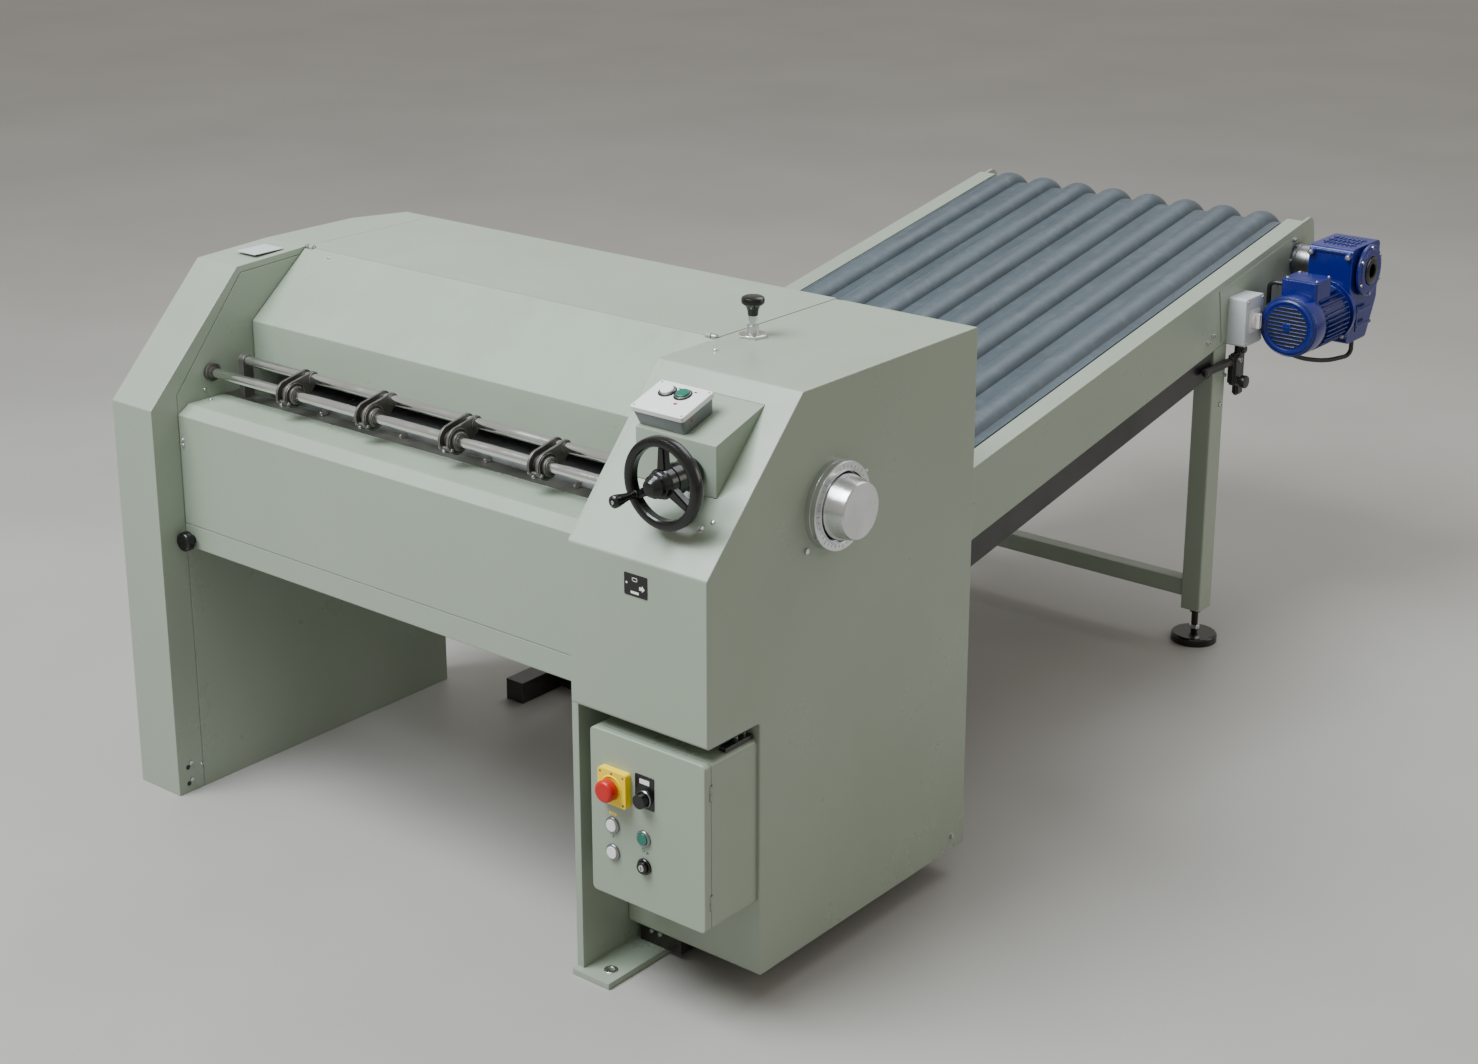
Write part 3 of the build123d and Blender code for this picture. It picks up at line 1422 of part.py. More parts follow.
fan_cover_length = 62.0
motor_flange_d = 150.0
motor_flange = 12.0
with BuildPart() as gear_motor:
    with BuildSketch(Plane.XZ.offset(-motor_front)):
        with Locations((motor_x, motor_z)):
            Circle(motor_d / 2)
    extrude(amount=-fan_cover_length)
    fillet(gear_motor.edges().filter_by(GeomType.CIRCLE).sort_by(Axis.Y)[0], 14)
    with BuildSketch(Plane.XZ.offset(-motor_front - fan_cover_length + 1)):
        with Locations((motor_x, motor_z)):
            Circle(motor_d / 2 - 5)
    extrude(amount=-(gearbox_front - motor_front - fan_cover_length))
    with BuildSketch(Plane.XZ.offset(-gearbox_front)):
        with Locations((motor_x, motor_z)):
            Circle(motor_flange_d / 2)
    extrude(amount=motor_flange)
    with BuildSketch(Plane.XY.offset(motor_z)):
        with Locations((motor_x, (terminal_box_front + terminal_box_back) / 2)):
            RectangleRounded(90, terminal_box_back - terminal_box_front, 8)
    extrude(amount=terminal_box_top - motor_z)
    with BuildSketch(Plane.YZ.offset(lead_exit_x)):
        with Locations((lead_exit_y, lead_exit_z)):
            Circle(gland_d / 2)
    extrude(amount=gland_length)
gear_motor.part.label = "gear_motor"
export_step(gear_motor.part, "parts/gear_motor.step")

isolator_y = (isolator_front + isolator_back) / 2
isolator_z = (isolator_bottom + isolator_top) / 2
isolator_stem_d = 10.0
with BuildPart() as isolator_box:
    with BuildSketch(Plane.YZ.offset(conveyor_right)):
        with Locations((isolator_y, isolator_z)):
            RectangleRounded(isolator_back - isolator_front, isolator_top - isolator_bottom, 6)
    extrude(amount=isolator_x)
    fillet(isolator_box.faces().sort_by(Axis.X)[-1].edges(), 2)
    with BuildSketch(Plane.YZ.offset(conveyor_right + isolator_x)):
        with Locations((isolator_y, isolator_z)):
            Circle(isolator_stem_d / 2 + running_fit)
    extrude(amount=-16, mode=Mode.SUBTRACT)
isolator_box.part.label = "isolator_box"
export_step(isolator_box.part, "parts/isolator_box.step")

with BuildPart() as isolator_knob:
    with BuildSketch(Plane.YZ.offset(conveyor_right + isolator_x - 14)):
        with Locations((isolator_y, isolator_z)):
            Circle(isolator_stem_d / 2)
    extrude(amount=15)
    with BuildSketch(Plane.YZ.offset(conveyor_right + isolator_x + 0.5)):
        with Locations((isolator_y, isolator_z)):
            Circle(18)
    extrude(amount=6)
    with BuildSketch(Plane.YZ.offset(conveyor_right + isolator_x + 6)):
        with Locations((isolator_y, isolator_z)):
            Rectangle(11, 34)
    extrude(amount=10)
isolator_knob.part.label = "isolator_knob"
export_step(isolator_knob.part, "parts/isolator_knob.step")

# The motor lead runs from the terminal box under the motor and up into the gearbox's underside.
cable_start = (lead_exit_x, lead_exit_y, lead_exit_z)
cable_end = (lead_entry_x, lead_entry_y, gearbox_bottom - gland_length)
cable_route = [
    cable_start,
    (730, lead_exit_y, lead_exit_z),
    (727, 1884, 806),
    (729, 1897, 743),
    (745, 1930, 692),
    (775, 1978, 664),
    (815, 2036, 652),
    (lead_entry_x, lead_entry_y, 661),
    cable_end,
]
runs = [Vector(*q) - Vector(*p) for p, q in zip(cable_route, cable_route[1:])]
cable_radii = [
    0.45 * min(a.length, b.length) / tan(radians(a.get_angle(b) / 2))
    for a, b in zip(runs, runs[1:])
]
print("motor lead bend radii", [round(radius, 1) for radius in cable_radii])
with BuildPart() as motor_lead:
    with BuildLine() as lead_path:
        FilletPolyline(*cable_route, radius=cable_radii)
    with BuildSketch(Plane(origin=cable_start, z_dir=runs[0].normalized())):
        Circle(cable_d / 2)
    sweep()
    lead_length = lead_path.wire().length
    print("motor lead length", round(lead_length, 1))
    print("volume over section times length", motor_lead.part.volume / (pi * cable_d**2 / 4 * lead_length))
motor_lead.part.label = "motor_lead"
export_step(motor_lead.part, "parts/motor_lead.step")
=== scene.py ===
"""Looks of the motor-driven roller press with its delivery conveyor.

Metres, +Z up, +X to the drive cabinet. Trim is drawn in millimetres and rides on the body it belongs to.
"""

import json
from math import atan2, cos, pi, radians, sin

import bmesh
import bpy
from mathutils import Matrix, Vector


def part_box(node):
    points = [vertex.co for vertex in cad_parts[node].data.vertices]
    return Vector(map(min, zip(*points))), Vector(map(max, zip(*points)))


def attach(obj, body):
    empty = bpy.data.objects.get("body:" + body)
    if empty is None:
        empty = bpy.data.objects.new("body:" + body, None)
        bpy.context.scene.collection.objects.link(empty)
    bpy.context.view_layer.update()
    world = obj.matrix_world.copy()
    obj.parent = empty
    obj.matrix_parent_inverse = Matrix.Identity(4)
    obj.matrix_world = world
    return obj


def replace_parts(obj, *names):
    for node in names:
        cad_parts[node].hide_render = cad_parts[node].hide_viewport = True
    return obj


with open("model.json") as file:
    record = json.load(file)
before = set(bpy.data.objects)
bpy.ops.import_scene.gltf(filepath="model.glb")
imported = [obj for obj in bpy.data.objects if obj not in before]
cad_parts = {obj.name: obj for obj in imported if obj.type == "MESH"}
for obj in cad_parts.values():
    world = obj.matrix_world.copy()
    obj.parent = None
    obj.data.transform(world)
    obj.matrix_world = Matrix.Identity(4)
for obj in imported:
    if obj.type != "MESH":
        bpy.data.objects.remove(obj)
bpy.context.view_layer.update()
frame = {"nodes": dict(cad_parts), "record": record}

X = Vector((1, 0, 0))
Y = Vector((0, 1, 0))
Z = Vector((0, 0, 1))
INCLINE = radians(9.96)
RAIL_RISE = 0.1756  # the tangent of the incline
UPHILL = Vector((0, cos(INCLINE), sin(INCLINE)))
OFF_RAIL = Vector((0, -sin(INCLINE), cos(INCLINE)))


# ---------------------------------------------------------------- camera, floor and light

def make_camera():
    camera = bpy.data.cameras.new("camera")
    camera.sensor_width = 36
    camera.lens = 57.1
    camera.shift_y = -0.100
    holder = bpy.data.objects.new("camera", camera)
    holder.location = (3.141, -3.073, 2.241)
    holder.rotation_euler = (pi / 2 - 0.2945, 0, 0.6826)
    bpy.context.scene.collection.objects.link(holder)
    bpy.context.scene.camera = holder


def area_light(name, place, aim, size, power, tint=(1, 1, 1)):
    light = bpy.data.lights.new(name, "AREA")
    light.shape = "RECTANGLE"
    light.size, light.size_y = size
    light.energy = power
    light.color = tint
    holder = bpy.data.objects.new(name, light)
    holder.location = place
    holder.rotation_euler = (Vector(aim) - Vector(place)).to_track_quat("-Z", "Y").to_euler()
    bpy.context.scene.collection.objects.link(holder)


def make_stage():
    half = 14.0
    mesh = bpy.data.meshes.new("floor")
    corners = [(-half, -half, 0), (half, -half, 0), (half, half, 0), (-half, half, 0)]
    mesh.from_pydata(corners, [], [(0, 1, 2, 3)])
    floor = bpy.data.objects.new("floor", mesh)
    bpy.context.scene.collection.objects.link(floor)
    floor.data.materials.append(floor_finish())
    world = bpy.data.worlds.new("studio")
    bpy.context.scene.world = world
    world.use_nodes = True
    background = world.node_tree.nodes["Background"]
    background.inputs["Color"].default_value = (1.0, 0.975, 0.90, 1)
    background.inputs["Strength"].default_value = 0.51
    area_light("key", (-0.9, -2.5, 5.4), (0.1, 0.4, 0.6), (3.2, 3.2), 640, (0.89, 0.965, 1.0))
    area_light("back", (0.6, 3.6, 4.6), (0.2, 1.2, 0.8), (3.5, 2.5), 95, (0.92, 0.97, 1.0))
    area_light("side", (3.6, 3.4, 1.9), (0.7, 1.6, 0.8), (1.8, 1.6), 26, (1.0, 0.99, 0.95))


# ---------------------------------------------------------------- materials

class Nodes:
    """A small writer of node trees: each call adds a node, sets its values and joins its inputs."""

    def __init__(self, name):
        self.material = bpy.data.materials.new(name)
        self.material.use_nodes = True
        self.tree = self.material.node_tree
        self.shader = self.tree.nodes["Principled BSDF"]

    def add(self, kind, inputs=None, **settings):
        node = self.tree.nodes.new("ShaderNode" + kind)
        for key, value in settings.items():
            setattr(node, key, value)
        for key, value in (inputs or {}).items():
            self.feed(node.inputs[key], value)
        return node

    def feed(self, socket, value):
        if isinstance(value, bpy.types.NodeSocket):
            self.tree.links.new(value, socket)
        else:
            socket.default_value = value

    def place(self):
        return self.add("TexCoord").outputs["Object"]

    def noise(self, scale, detail=3.0, stretch=None, roughness=0.5):
        where = self.place()
        if stretch:
            where = self.add("Mapping", {"Vector": where, "Scale": stretch}).outputs["Vector"]
        inputs = {"Vector": where, "Scale": scale, "Detail": detail, "Roughness": roughness}
        return self.add("TexNoise", inputs).outputs["Fac"]

    def ramp(self, value, low, high, to_low=0.0, to_high=1.0):
        inputs = {"Value": value, "From Min": low, "From Max": high, "To Min": to_low, "To Max": to_high}
        return self.add("MapRange", inputs).outputs["Result"]

    def math(self, operation, a, b=0.0):
        return self.add("Math", {0: a, 1: b}, operation=operation).outputs[0]

    def blend(self, amount, first, second, kind="MIX"):
        node = self.add("Mix", data_type="RGBA", blend_type=kind)
        colours = [s for s in node.inputs if s.type == "RGBA"]
        self.feed(node.inputs["Factor"], amount)
        self.feed(colours[0], first)
        self.feed(colours[1], second)
        return [s for s in node.outputs if s.type == "RGBA"][0]

    def bump(self, height, strength, distance, under=None):
        inputs = {"Height": height, "Strength": strength, "Distance": distance}
        if under is not None:
            inputs["Normal"] = under
        return self.add("Bump", inputs).outputs["Normal"]

    def soft_edges(self, radius):
        return self.add("Bevel", {"Radius": radius}, samples=4).outputs["Normal"]

    def edge_mask(self, radius):
        bevel = self.add("Bevel", {"Radius": radius}, samples=4).outputs["Normal"]
        true = self.add("NewGeometry").outputs["Normal"]
        likeness = self.add("VectorMath", {0: bevel, 1: true}, operation="DOT_PRODUCT").outputs["Value"]
        return self.ramp(likeness, 0.985, 0.86)

    def set(self, **values):
        for key, value in values.items():
            self.feed(self.shader.inputs[key.replace("_", " ")], value)
        return self.material


def colour(r, g, b):
    return (r, g, b, 1)


def paint(name, base, dark, chip_and_highlight, rough=0.34, peel=0.10, edge=0.003, dust=0.12):
    """Sprayed enamel: cloudy tone, orange peel, smudges, floor dust low down, chips along the edges and a
    painted highlight along every edge.
    """
    n = Nodes(name)
    cloud = n.ramp(n.noise(2.3, 4), 0.35, 0.70)
    tone = n.blend(n.math("MULTIPLY", cloud, 0.45), base, dark)
    height = n.add("SeparateXYZ", {"Vector": n.place()}).outputs["Z"]
    low = n.math("MULTIPLY", n.ramp(height, 0.35, 0.0), n.ramp(n.noise(9, 5), 0.35, 0.7))
    tone = n.blend(n.math("MULTIPLY", low, dust), tone, colour(0.30, 0.27, 0.22))
    # painted highlight: a band along every edge is blended 30% towards the chip colour; the noisy wear below
    # is real chipping
    tone = n.blend(n.math("MULTIPLY", n.edge_mask(0.0032), 0.30), tone, chip_and_highlight)
    wear = n.math("MULTIPLY", n.edge_mask(0.0014), n.ramp(n.noise(38, 6), 0.58, 0.66))
    tone = n.blend(n.math("MULTIPLY", wear, 0.75), tone, chip_and_highlight)
    smudge = n.ramp(n.noise(5.5, 6, roughness=0.65), 0.38, 0.68, rough - 0.07, rough + 0.12)
    relief = n.bump(n.noise(420, 2), peel, 0.0004, n.soft_edges(edge))
    return n.set(Base_Color=tone, Roughness=smudge, Normal=relief, Coat_Weight=0.12, Coat_Roughness=0.25)


def bare_metal(name, base, dark, rough=0.3, grain=(1, 1, 1), depth=0.25, spots=0.3, metallic=1.0):
    """Machined or ground metal: fine marks along one way, a patchy tone and a few dull spots."""
    n = Nodes(name)
    marks = n.noise(900, 2, stretch=grain)
    patch = n.ramp(n.noise(14, 5), 0.35, 0.7)
    tone = n.blend(n.math("MULTIPLY", patch, spots), base, dark)
    tone = n.blend(n.math("MULTIPLY", n.ramp(marks, 0.45, 0.75), 0.35), tone, dark)
    gloss = n.ramp(patch, 0, 1, rough - 0.06, rough + 0.14)
    relief = n.bump(marks, depth, 0.0002, n.soft_edges(0.0006))
    return n.set(Base_Color=tone, Roughness=gloss, Metallic=metallic, Normal=relief)


def moulded(name, base, rough=0.3, texture=0.10, edge=0.0006, coat=0.2, grain=900):
    """Moulded plastic or rubber: a fine even grain, faint scuffs and softened edges."""
    n = Nodes(name)
    lighter = colour(*[min(1.0, c * 1.2 + 0.006) for c in base[:3]])
    scuff = n.ramp(n.noise(46, 6, roughness=0.7), 0.52, 0.74)
    tone = n.blend(n.math("MULTIPLY", scuff, 0.5), base, lighter)
    gloss = n.ramp(scuff, 0, 1, rough, rough + 0.16)
    relief = n.bump(n.noise(grain, 2), texture, 0.0003, n.soft_edges(edge))
    return n.set(Base_Color=tone, Roughness=gloss, Normal=relief, Coat_Weight=coat, Coat_Roughness=0.15)


def cast_metal(name, base, light):
    """Sand-cast and blackened iron: pitted skin, with bright rubbed edges."""
    n = Nodes(name)
    pits = n.noise(230, 5)
    rub = n.math("MULTIPLY", n.edge_mask(0.0018), n.ramp(n.noise(60, 5), 0.40, 0.60))
    tone = n.blend(n.math("MULTIPLY", n.ramp(n.noise(22, 5), 0.4, 0.7), 0.5), base, light)
    tone = n.blend(n.math("MULTIPLY", rub, 0.85), tone, colour(0.62, 0.60, 0.56))
    relief = n.bump(pits, 0.35, 0.0006, n.soft_edges(0.001))
    return n.set(Base_Color=tone, Roughness=0.46, Metallic=0.7, Normal=relief)


def belt_finish():
    """Coated belt: a fine woven print, dull polish on the crowns, a dusty tone and painted shade in the
    valleys between the ribs.
    """
    n = Nodes("belt_rubber")
    along = n.noise(7, 5, stretch=(3.0, 0.7, 0.7))
    tone = n.blend(n.ramp(along, 0.30, 0.72), colour(0.043, 0.060, 0.076), colour(0.066, 0.088, 0.106))
    dust = n.math("MULTIPLY", n.ramp(n.noise(34, 6, roughness=0.7), 0.50, 0.72), 0.30)
    tone = n.blend(dust, tone, colour(0.15, 0.175, 0.19))
    # painted shade: an ambient occlusion mask darkens the valleys between the ribs towards near black
    painted_valley_shade = n.add("AmbientOcclusion", {"Distance": 0.05}, samples=4).outputs["AO"]
    tone = n.blend(n.ramp(painted_valley_shade, 0.97, 0.45, 0.0, 0.75), tone, colour(0.018, 0.024, 0.030))
    threads = {"Vector": n.place(), "Scale": 160.0}
    warp = n.add("TexWave", threads, wave_type="BANDS", bands_direction="X").outputs["Fac"]
    weft = n.add("TexWave", threads, wave_type="BANDS", bands_direction="Y").outputs["Fac"]
    weave = n.math("MULTIPLY", warp, weft)
    relief = n.bump(weave, 0.12, 0.0003)
    gloss = n.ramp(along, 0.3, 0.7, 0.42, 0.58)
    return n.set(Base_Color=tone, Roughness=gloss, Normal=relief, Coat_Weight=0.08, Coat_Roughness=0.4)


def floor_finish():
    """A plain warm grey floor with a faint cloudiness."""
    n = Nodes("floor")
    cloud = n.ramp(n.noise(1.2, 4), 0.3, 0.7)
    tone = n.blend(cloud, colour(0.335, 0.320, 0.302), colour(0.375, 0.360, 0.340))
    return n.set(Base_Color=tone, Roughness=0.45)


def make_materials():
    """The finish of every slot, by the slot's name."""
    across = (0.02, 1, 1)
    # the third colour of each paint is its chip colour, which also serves as the painted edge highlight
    paints = {
        "sage_paint": (colour(0.290, 0.338, 0.268), colour(0.256, 0.300, 0.234), colour(0.42, 0.44, 0.39)),
        "motor_grey": (colour(0.16, 0.18, 0.19), colour(0.12, 0.14, 0.15), colour(0.4, 0.4, 0.4)),
        "black_paint": (colour(0.008, 0.008, 0.008), colour(0.005, 0.005, 0.005), colour(0.25, 0.24, 0.23)),
        "blue_paint": (colour(0.001, 0.006, 0.150), colour(0.001, 0.004, 0.110), colour(0.10, 0.15, 0.34),
                       0.26, 0.16),
        "light_grey_paint": (colour(0.50, 0.52, 0.54), colour(0.44, 0.46, 0.48), colour(0.62, 0.62, 0.62)),
    }
    metals = {
        "bright_steel": (colour(0.66, 0.66, 0.66), colour(0.40, 0.39, 0.37), 0.28),
        "plate_steel": (colour(0.36, 0.34, 0.33), colour(0.20, 0.18, 0.17), 0.34, across),
        "chromed_rod": (colour(0.80, 0.80, 0.81), colour(0.52, 0.52, 0.53), 0.12, across, 0.08, 0.2),
        "roller_steel": (colour(0.30, 0.30, 0.31), colour(0.14, 0.14, 0.14), 0.30, across),
        "gear_steel": (colour(0.42, 0.42, 0.43), colour(0.20, 0.19, 0.17), 0.36),
        "turned_aluminium": (colour(0.72, 0.73, 0.74), colour(0.50, 0.50, 0.50), 0.24, (6, 1, 1), 0.3),
    }
    finishes = {name: paint(name, *values) for name, values in paints.items()}
    finishes.update({name: bare_metal(name, *values) for name, values in metals.items()})
    finishes.update({
        "black_plastic": moulded("black_plastic", colour(0.004, 0.004, 0.004), 0.22, 0.08, coat=0.0),
        "light_grey_plastic": moulded("light_grey_plastic", colour(0.74, 0.74, 0.73), 0.34, 0.10),
        "white_plastic": moulded("white_plastic", colour(0.76, 0.76, 0.74), 0.25, 0.04),
        "green_plastic": moulded("green_plastic", colour(0.004, 0.13, 0.085), 0.22, 0.04),
        "yellow_plastic": moulded("yellow_plastic", colour(0.93, 0.66, 0.0), 0.40, 0.06, coat=0.0),
        "red_plastic": moulded("red_plastic", colour(0.50, 0.006, 0.004), 0.34, 0.04, coat=0.0),
        "cable_rubber": moulded("cable_rubber", colour(0.012, 0.012, 0.013), 0.45, 0.25),
        "dark_cast": cast_metal("dark_cast", colour(0.105, 0.098, 0.090), colour(0.20, 0.19, 0.175)),
        "belt_rubber": belt_finish(),
    })
    return finishes


FINISH = make_materials()


def finish_frame():
    """Every node of the frame gets the finish of its own slot."""
    for row in frame["record"]["subparts"]:
        slots = frame["nodes"][row["node"]].material_slots
        for slot in slots:
            slot.material = FINISH[row["material_slot"]]


# ---------------------------------------------------------------- shapes

def mm(x, y, z):
    """A place given in millimetres, in metres."""
    return Vector((x, y, z)) / 1000


def rounded(width, height, radius, steps=5):
    """The outline of a rectangle with rounded corners, centred."""
    corners = ((1, 1, 0), (-1, 1, 90), (-1, -1, 180), (1, -1, 270))
    outline = []
    for side, level, start in corners:
        for step in range(steps + 1):
            angle = radians(start + 90 * step / steps)
            outline.append((side * (width / 2 - radius) + radius * cos(angle),
                            level * (height / 2 - radius) + radius * sin(angle)))
    return outline


class Piece:
    """Collects shapes, given in millimetres, into one mesh that rides on a body."""

    def __init__(self, name, body, finish):
        self.name = name
        self.body = body
        self.finish = finish
        self.bm = bmesh.new()

    def turned(self, profile, origin, axis, steps=32):
        """A turned shape. Each row is (radius, height), with "hex" after it where it is six-sided."""
        axis = axis.normalized()
        side = axis.orthogonal().normalized()
        other = axis.cross(side)
        rings = []
        for radius, height, *form in profile:
            centre = mm(*origin) + axis * height / 1000
            if radius == 0:
                rings.append([self.bm.verts.new(centre)])
                continue
            ring = []
            for step in range(steps):
                angle = 2 * pi * step / steps
                reach = radius / 1000
                if form:
                    reach /= cos((angle + pi / 6) % (pi / 3) - pi / 6)
                ring.append(self.bm.verts.new(centre + (side * cos(angle) + other * sin(angle)) * reach))
            rings.append(ring)
        for low, high in zip(rings, rings[1:]):
            for step in range(steps):
                after = (step + 1) % steps
                if len(low) == 1:
                    corners = (low[0], high[after], high[step])
                elif len(high) == 1:
                    corners = (low[step], low[after], high[0])
                else:
                    corners = (low[step], low[after], high[after], high[step])
                self.bm.faces.new(corners)
        return self

    def slab(self, outline, origin, u, v, depth, edge=0.4):
        """A plate drawn on the directions u and v, raised along u x v, with a softened upper rim."""
        up = u.cross(v).normalized() * depth / 1000
        low = [self.bm.verts.new(mm(*origin) + u * a / 1000 + v * b / 1000) for a, b in outline]
        high = [self.bm.verts.new(vert.co + up) for vert in low]
        count = len(outline)
        self.bm.faces.new(list(reversed(low)))
        top = self.bm.faces.new(high)
        for i in range(count):
            j = (i + 1) % count
            self.bm.faces.new((low[i], low[j], high[j], high[i]))
        if edge:
            bmesh.ops.bevel(self.bm, geom=list(top.edges), offset=edge / 1000, segments=2, affect="EDGES")
        return self

    def lofted(self, sections, u, v):
        """A closed ring-shaped skin through outlines of equal point count, the last joined to the first."""
        rings = []
        for outline, origin in sections:
            rings.append([self.bm.verts.new(mm(*origin) + u * a / 1000 + v * b / 1000) for a, b in outline])
        for low, high in zip(rings, rings[1:] + rings[:1]):
            for i in range(len(low)):
                j = (i + 1) % len(low)
                self.bm.faces.new((low[i], low[j], high[j], high[i]))
        return self

    def block(self, low, high, edge=1.0):
        """A box between two corners, with all its edges softened."""
        made = bmesh.ops.create_cube(self.bm, size=1)["verts"]
        low, high = mm(*low), mm(*high)
        for vert in made:
            vert.co = Vector([(low[i] + high[i]) / 2 + vert.co[i] * (high[i] - low[i]) for i in range(3)])
        edges = list({e for vert in made for e in vert.link_edges})
        bmesh.ops.bevel(self.bm, geom=edges, offset=edge / 1000, segments=2, affect="EDGES")
        return self

    def rod(self, points, radius, steps=12):
        """A round bar along a few points."""
        points = [mm(*p) for p in points]
        rings = []
        side = None
        for i, point in enumerate(points):
            way = (points[min(i + 1, len(points) - 1)] - points[max(i - 1, 0)]).normalized()
            side = way.orthogonal() if side is None else side - way * side.dot(way)
            side.normalize()
            other = way.cross(side)
            rings.append([self.bm.verts.new(point + (side * cos(2 * pi * s / steps)
                         + other * sin(2 * pi * s / steps)) * radius / 1000) for s in range(steps)])
        for low, high in zip(rings, rings[1:]):
            for s in range(steps):
                t = (s + 1) % steps
                self.bm.faces.new((low[s], low[t], high[t], high[s]))
        self.bm.faces.new(list(reversed(rings[0])))
        self.bm.faces.new(rings[-1])
        return self

    def button_screw(self, origin, axis, size):
        """A button-head screw with a hexagon socket; size is the head's diameter."""
        rows = ((0, 0), (0.5, 0), (0.5, 0.10), (0.46, 0.24), (0.36, 0.36), (0.27, 0.40),
                (0.24, 0.40, "hex"), (0.22, 0.18, "hex"), (0, 0.16))
        return self.turned([(r * size, h * size, *f) for r, h, *f in rows], origin, axis, 24)

    def cap_screw(self, origin, axis, size):
        """A socket cap screw; size is the head's diameter."""
        rows = ((0, 0), (0.5, 0), (0.5, 0.52), (0.45, 0.58), (0.29, 0.58), (0.27, 0.56, "hex"),
                (0.27, 0.25, "hex"), (0, 0.22))
        return self.turned([(r * size, h * size, *f) for r, h, *f in rows], origin, axis, 24)

    def hex_bolt(self, origin, axis, size):
        """A hexagon bolt head on a washer; size is across the flats."""
        rows = ((0, 0), (0.68, 0), (0.68, 0.10), (0.60, 0.12), (0.50, 0.12, "hex"), (0.50, 0.44, "hex"),
                (0.44, 0.52), (0, 0.52))
        return self.turned([(r * size, h * size, *f) for r, h, *f in rows], origin, axis, 24)

    def done(self):
        bmesh.ops.recalc_face_normals(self.bm, faces=list(self.bm.faces))
        mesh = bpy.data.meshes.new(self.name)
        self.bm.to_mesh(mesh)
        self.bm.free()
        mesh.shade_smooth()
        mesh.set_sharp_from_angle(angle=radians(32))
        piece = bpy.data.objects.new(self.name, mesh)
        bpy.context.scene.collection.objects.link(piece)
        mesh.materials.append(FINISH[self.finish])
        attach(piece, self.body)
        return piece


def lowest(node):
    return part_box(node)[0] * 1000


def highest(node):
    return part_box(node)[1] * 1000


def middle_of(node):
    return (lowest(node) + highest(node)) / 2


# ---------------------------------------------------------------- cabinet

CASING_LOW = lowest("right_casing")
CASING_HIGH = highest("right_casing")
COVER_FACE = highest("left_cover").x
TABLE_TOP = highest("front_panel").z
SLOPE_DEPTH = 253
SLOPE_HEIGHT = 262
SLOPE_FOOT = Vector((0, CASING_LOW.y, 838))
SLOPE_UP = Vector((0, SLOPE_DEPTH, SLOPE_HEIGHT)).normalized()
SLOPE_OUT = X.cross(SLOPE_UP)
GUARD_SLOPE_OUT = Vector((0, -128, 153)).normalized()


def on_slope(x, reach):
    """A place on the cabinet's sloped face, at a distance up from its lower bend."""
    return Vector((x, 0, 0)) + SLOPE_FOOT + SLOPE_UP * reach


def cabinet_trim():
    """The inset plate, screws and plugs of the sheet-metal covers, and the guard's screw."""
    top = CASING_HIGH.z
    inset = Piece("cover_inset_plate", "root", "light_grey_paint")
    inset.slab(rounded(60, 78, 3), (-604, -36, top), X, Y, 1.2)
    inset.done()
    screws = Piece("cabinet_screws", "root", "bright_steel")
    screws.button_screw((607, -21, top), Z, 11)
    for z in (768.5, 757.5):
        screws.button_screw((-545, lowest("front_panel").y, z), -Y, 8)
    screws.button_screw((-541, -236, TABLE_TOP), Z, 8)
    screws.button_screw((-556, -237, 855), X, 8)
    screws.button_screw((COVER_FACE, -312, 53), X, 8)
    screws.done()
    plugs = Piece("cover_plugs", "root", "black_plastic")
    rows = ((0, 0), (5, 0), (5, 0.5), (4, 0.7), (3.4, 0.2), (0, 0.2))
    for z in (57, 20):
        plugs.turned(rows, (COVER_FACE, -347, z), X, 20)
    plugs.done()
    caps = Piece("slope_caps", "root", "bright_steel")
    for x, reach, size in ((817, 84, 6.5), (833, 101, 5)):
        rows = ((0, 0), (size, 0), (size * 0.9, 1.4), (size * 0.6, 2.4), (0, 2.9))
        caps.turned(rows, on_slope(x, reach), SLOPE_OUT, 24)
    caps.done()
    guard_screw = Piece("guard_screw", "guard", "bright_steel")
    guard_screw.button_screw((-470, 34, 1090), GUARD_SLOPE_OUT, 9)
    guard_screw.done()


def label_plate():
    """A black plate with plain pictograms: a frame, a dot, an arrow and a bar."""
    x, z = 725, 794
    thickness = 0.8
    face = CASING_LOW.y
    plate = Piece("label_plate", "root", "black_plastic")
    plate.slab(rounded(51, 39, 1.5), (x, face, z), X, Z, thickness, 0.3)
    plate.done()
    marks = Piece("label_marks", "root", "white_plastic")
    front = face - thickness
    for dx, dz, width, height in ((-2, 13, 11, 1.2), (-2, 7.5, 11, 1.2), (-7, 10, 1.2, 6), (3, 10, 1.2, 6)):
        marks.slab(rounded(width, height, 0.5, 2), (x + dx, front, z + dz), X, Z, 0.15, 0)
    marks.slab(rounded(18, 4.5, 1, 2), (x - 2, front, z - 13), X, Z, 0.15, 0)
    marks.turned(((0, 0), (2, 0), (2, 0.15), (0, 0.15)), (x - 20, front, z + 2), -Y, 16)
    arrow = [(-6, -2), (0, -2), (0, -5), (6, 1), (0, 7), (0, 4), (-6, 4)]
    marks.slab(arrow, (x + 14, front, z - 4), X, Z, 0.15, 0)
    marks.done()


def anchor_rings():
    """Machined spot faces round the four anchor holes."""
    rings = Piece("anchor_rings", "root", "bright_steel")
    foot_thickness = 12
    top = lowest("right_frame_plate").z + foot_thickness
    rows = ((7.2, 0), (13, 0), (13, 1.2), (12.4, 1.6), (7.8, 1.6), (7.2, 1.2), (7.2, 0))
    for x in (-613, 613):
        for y in (-328, 328):
            rings.turned(rows, (x, y, top), Z)
    rings.done()


# ---------------------------------------------------------------- feed slot, rods and clamps

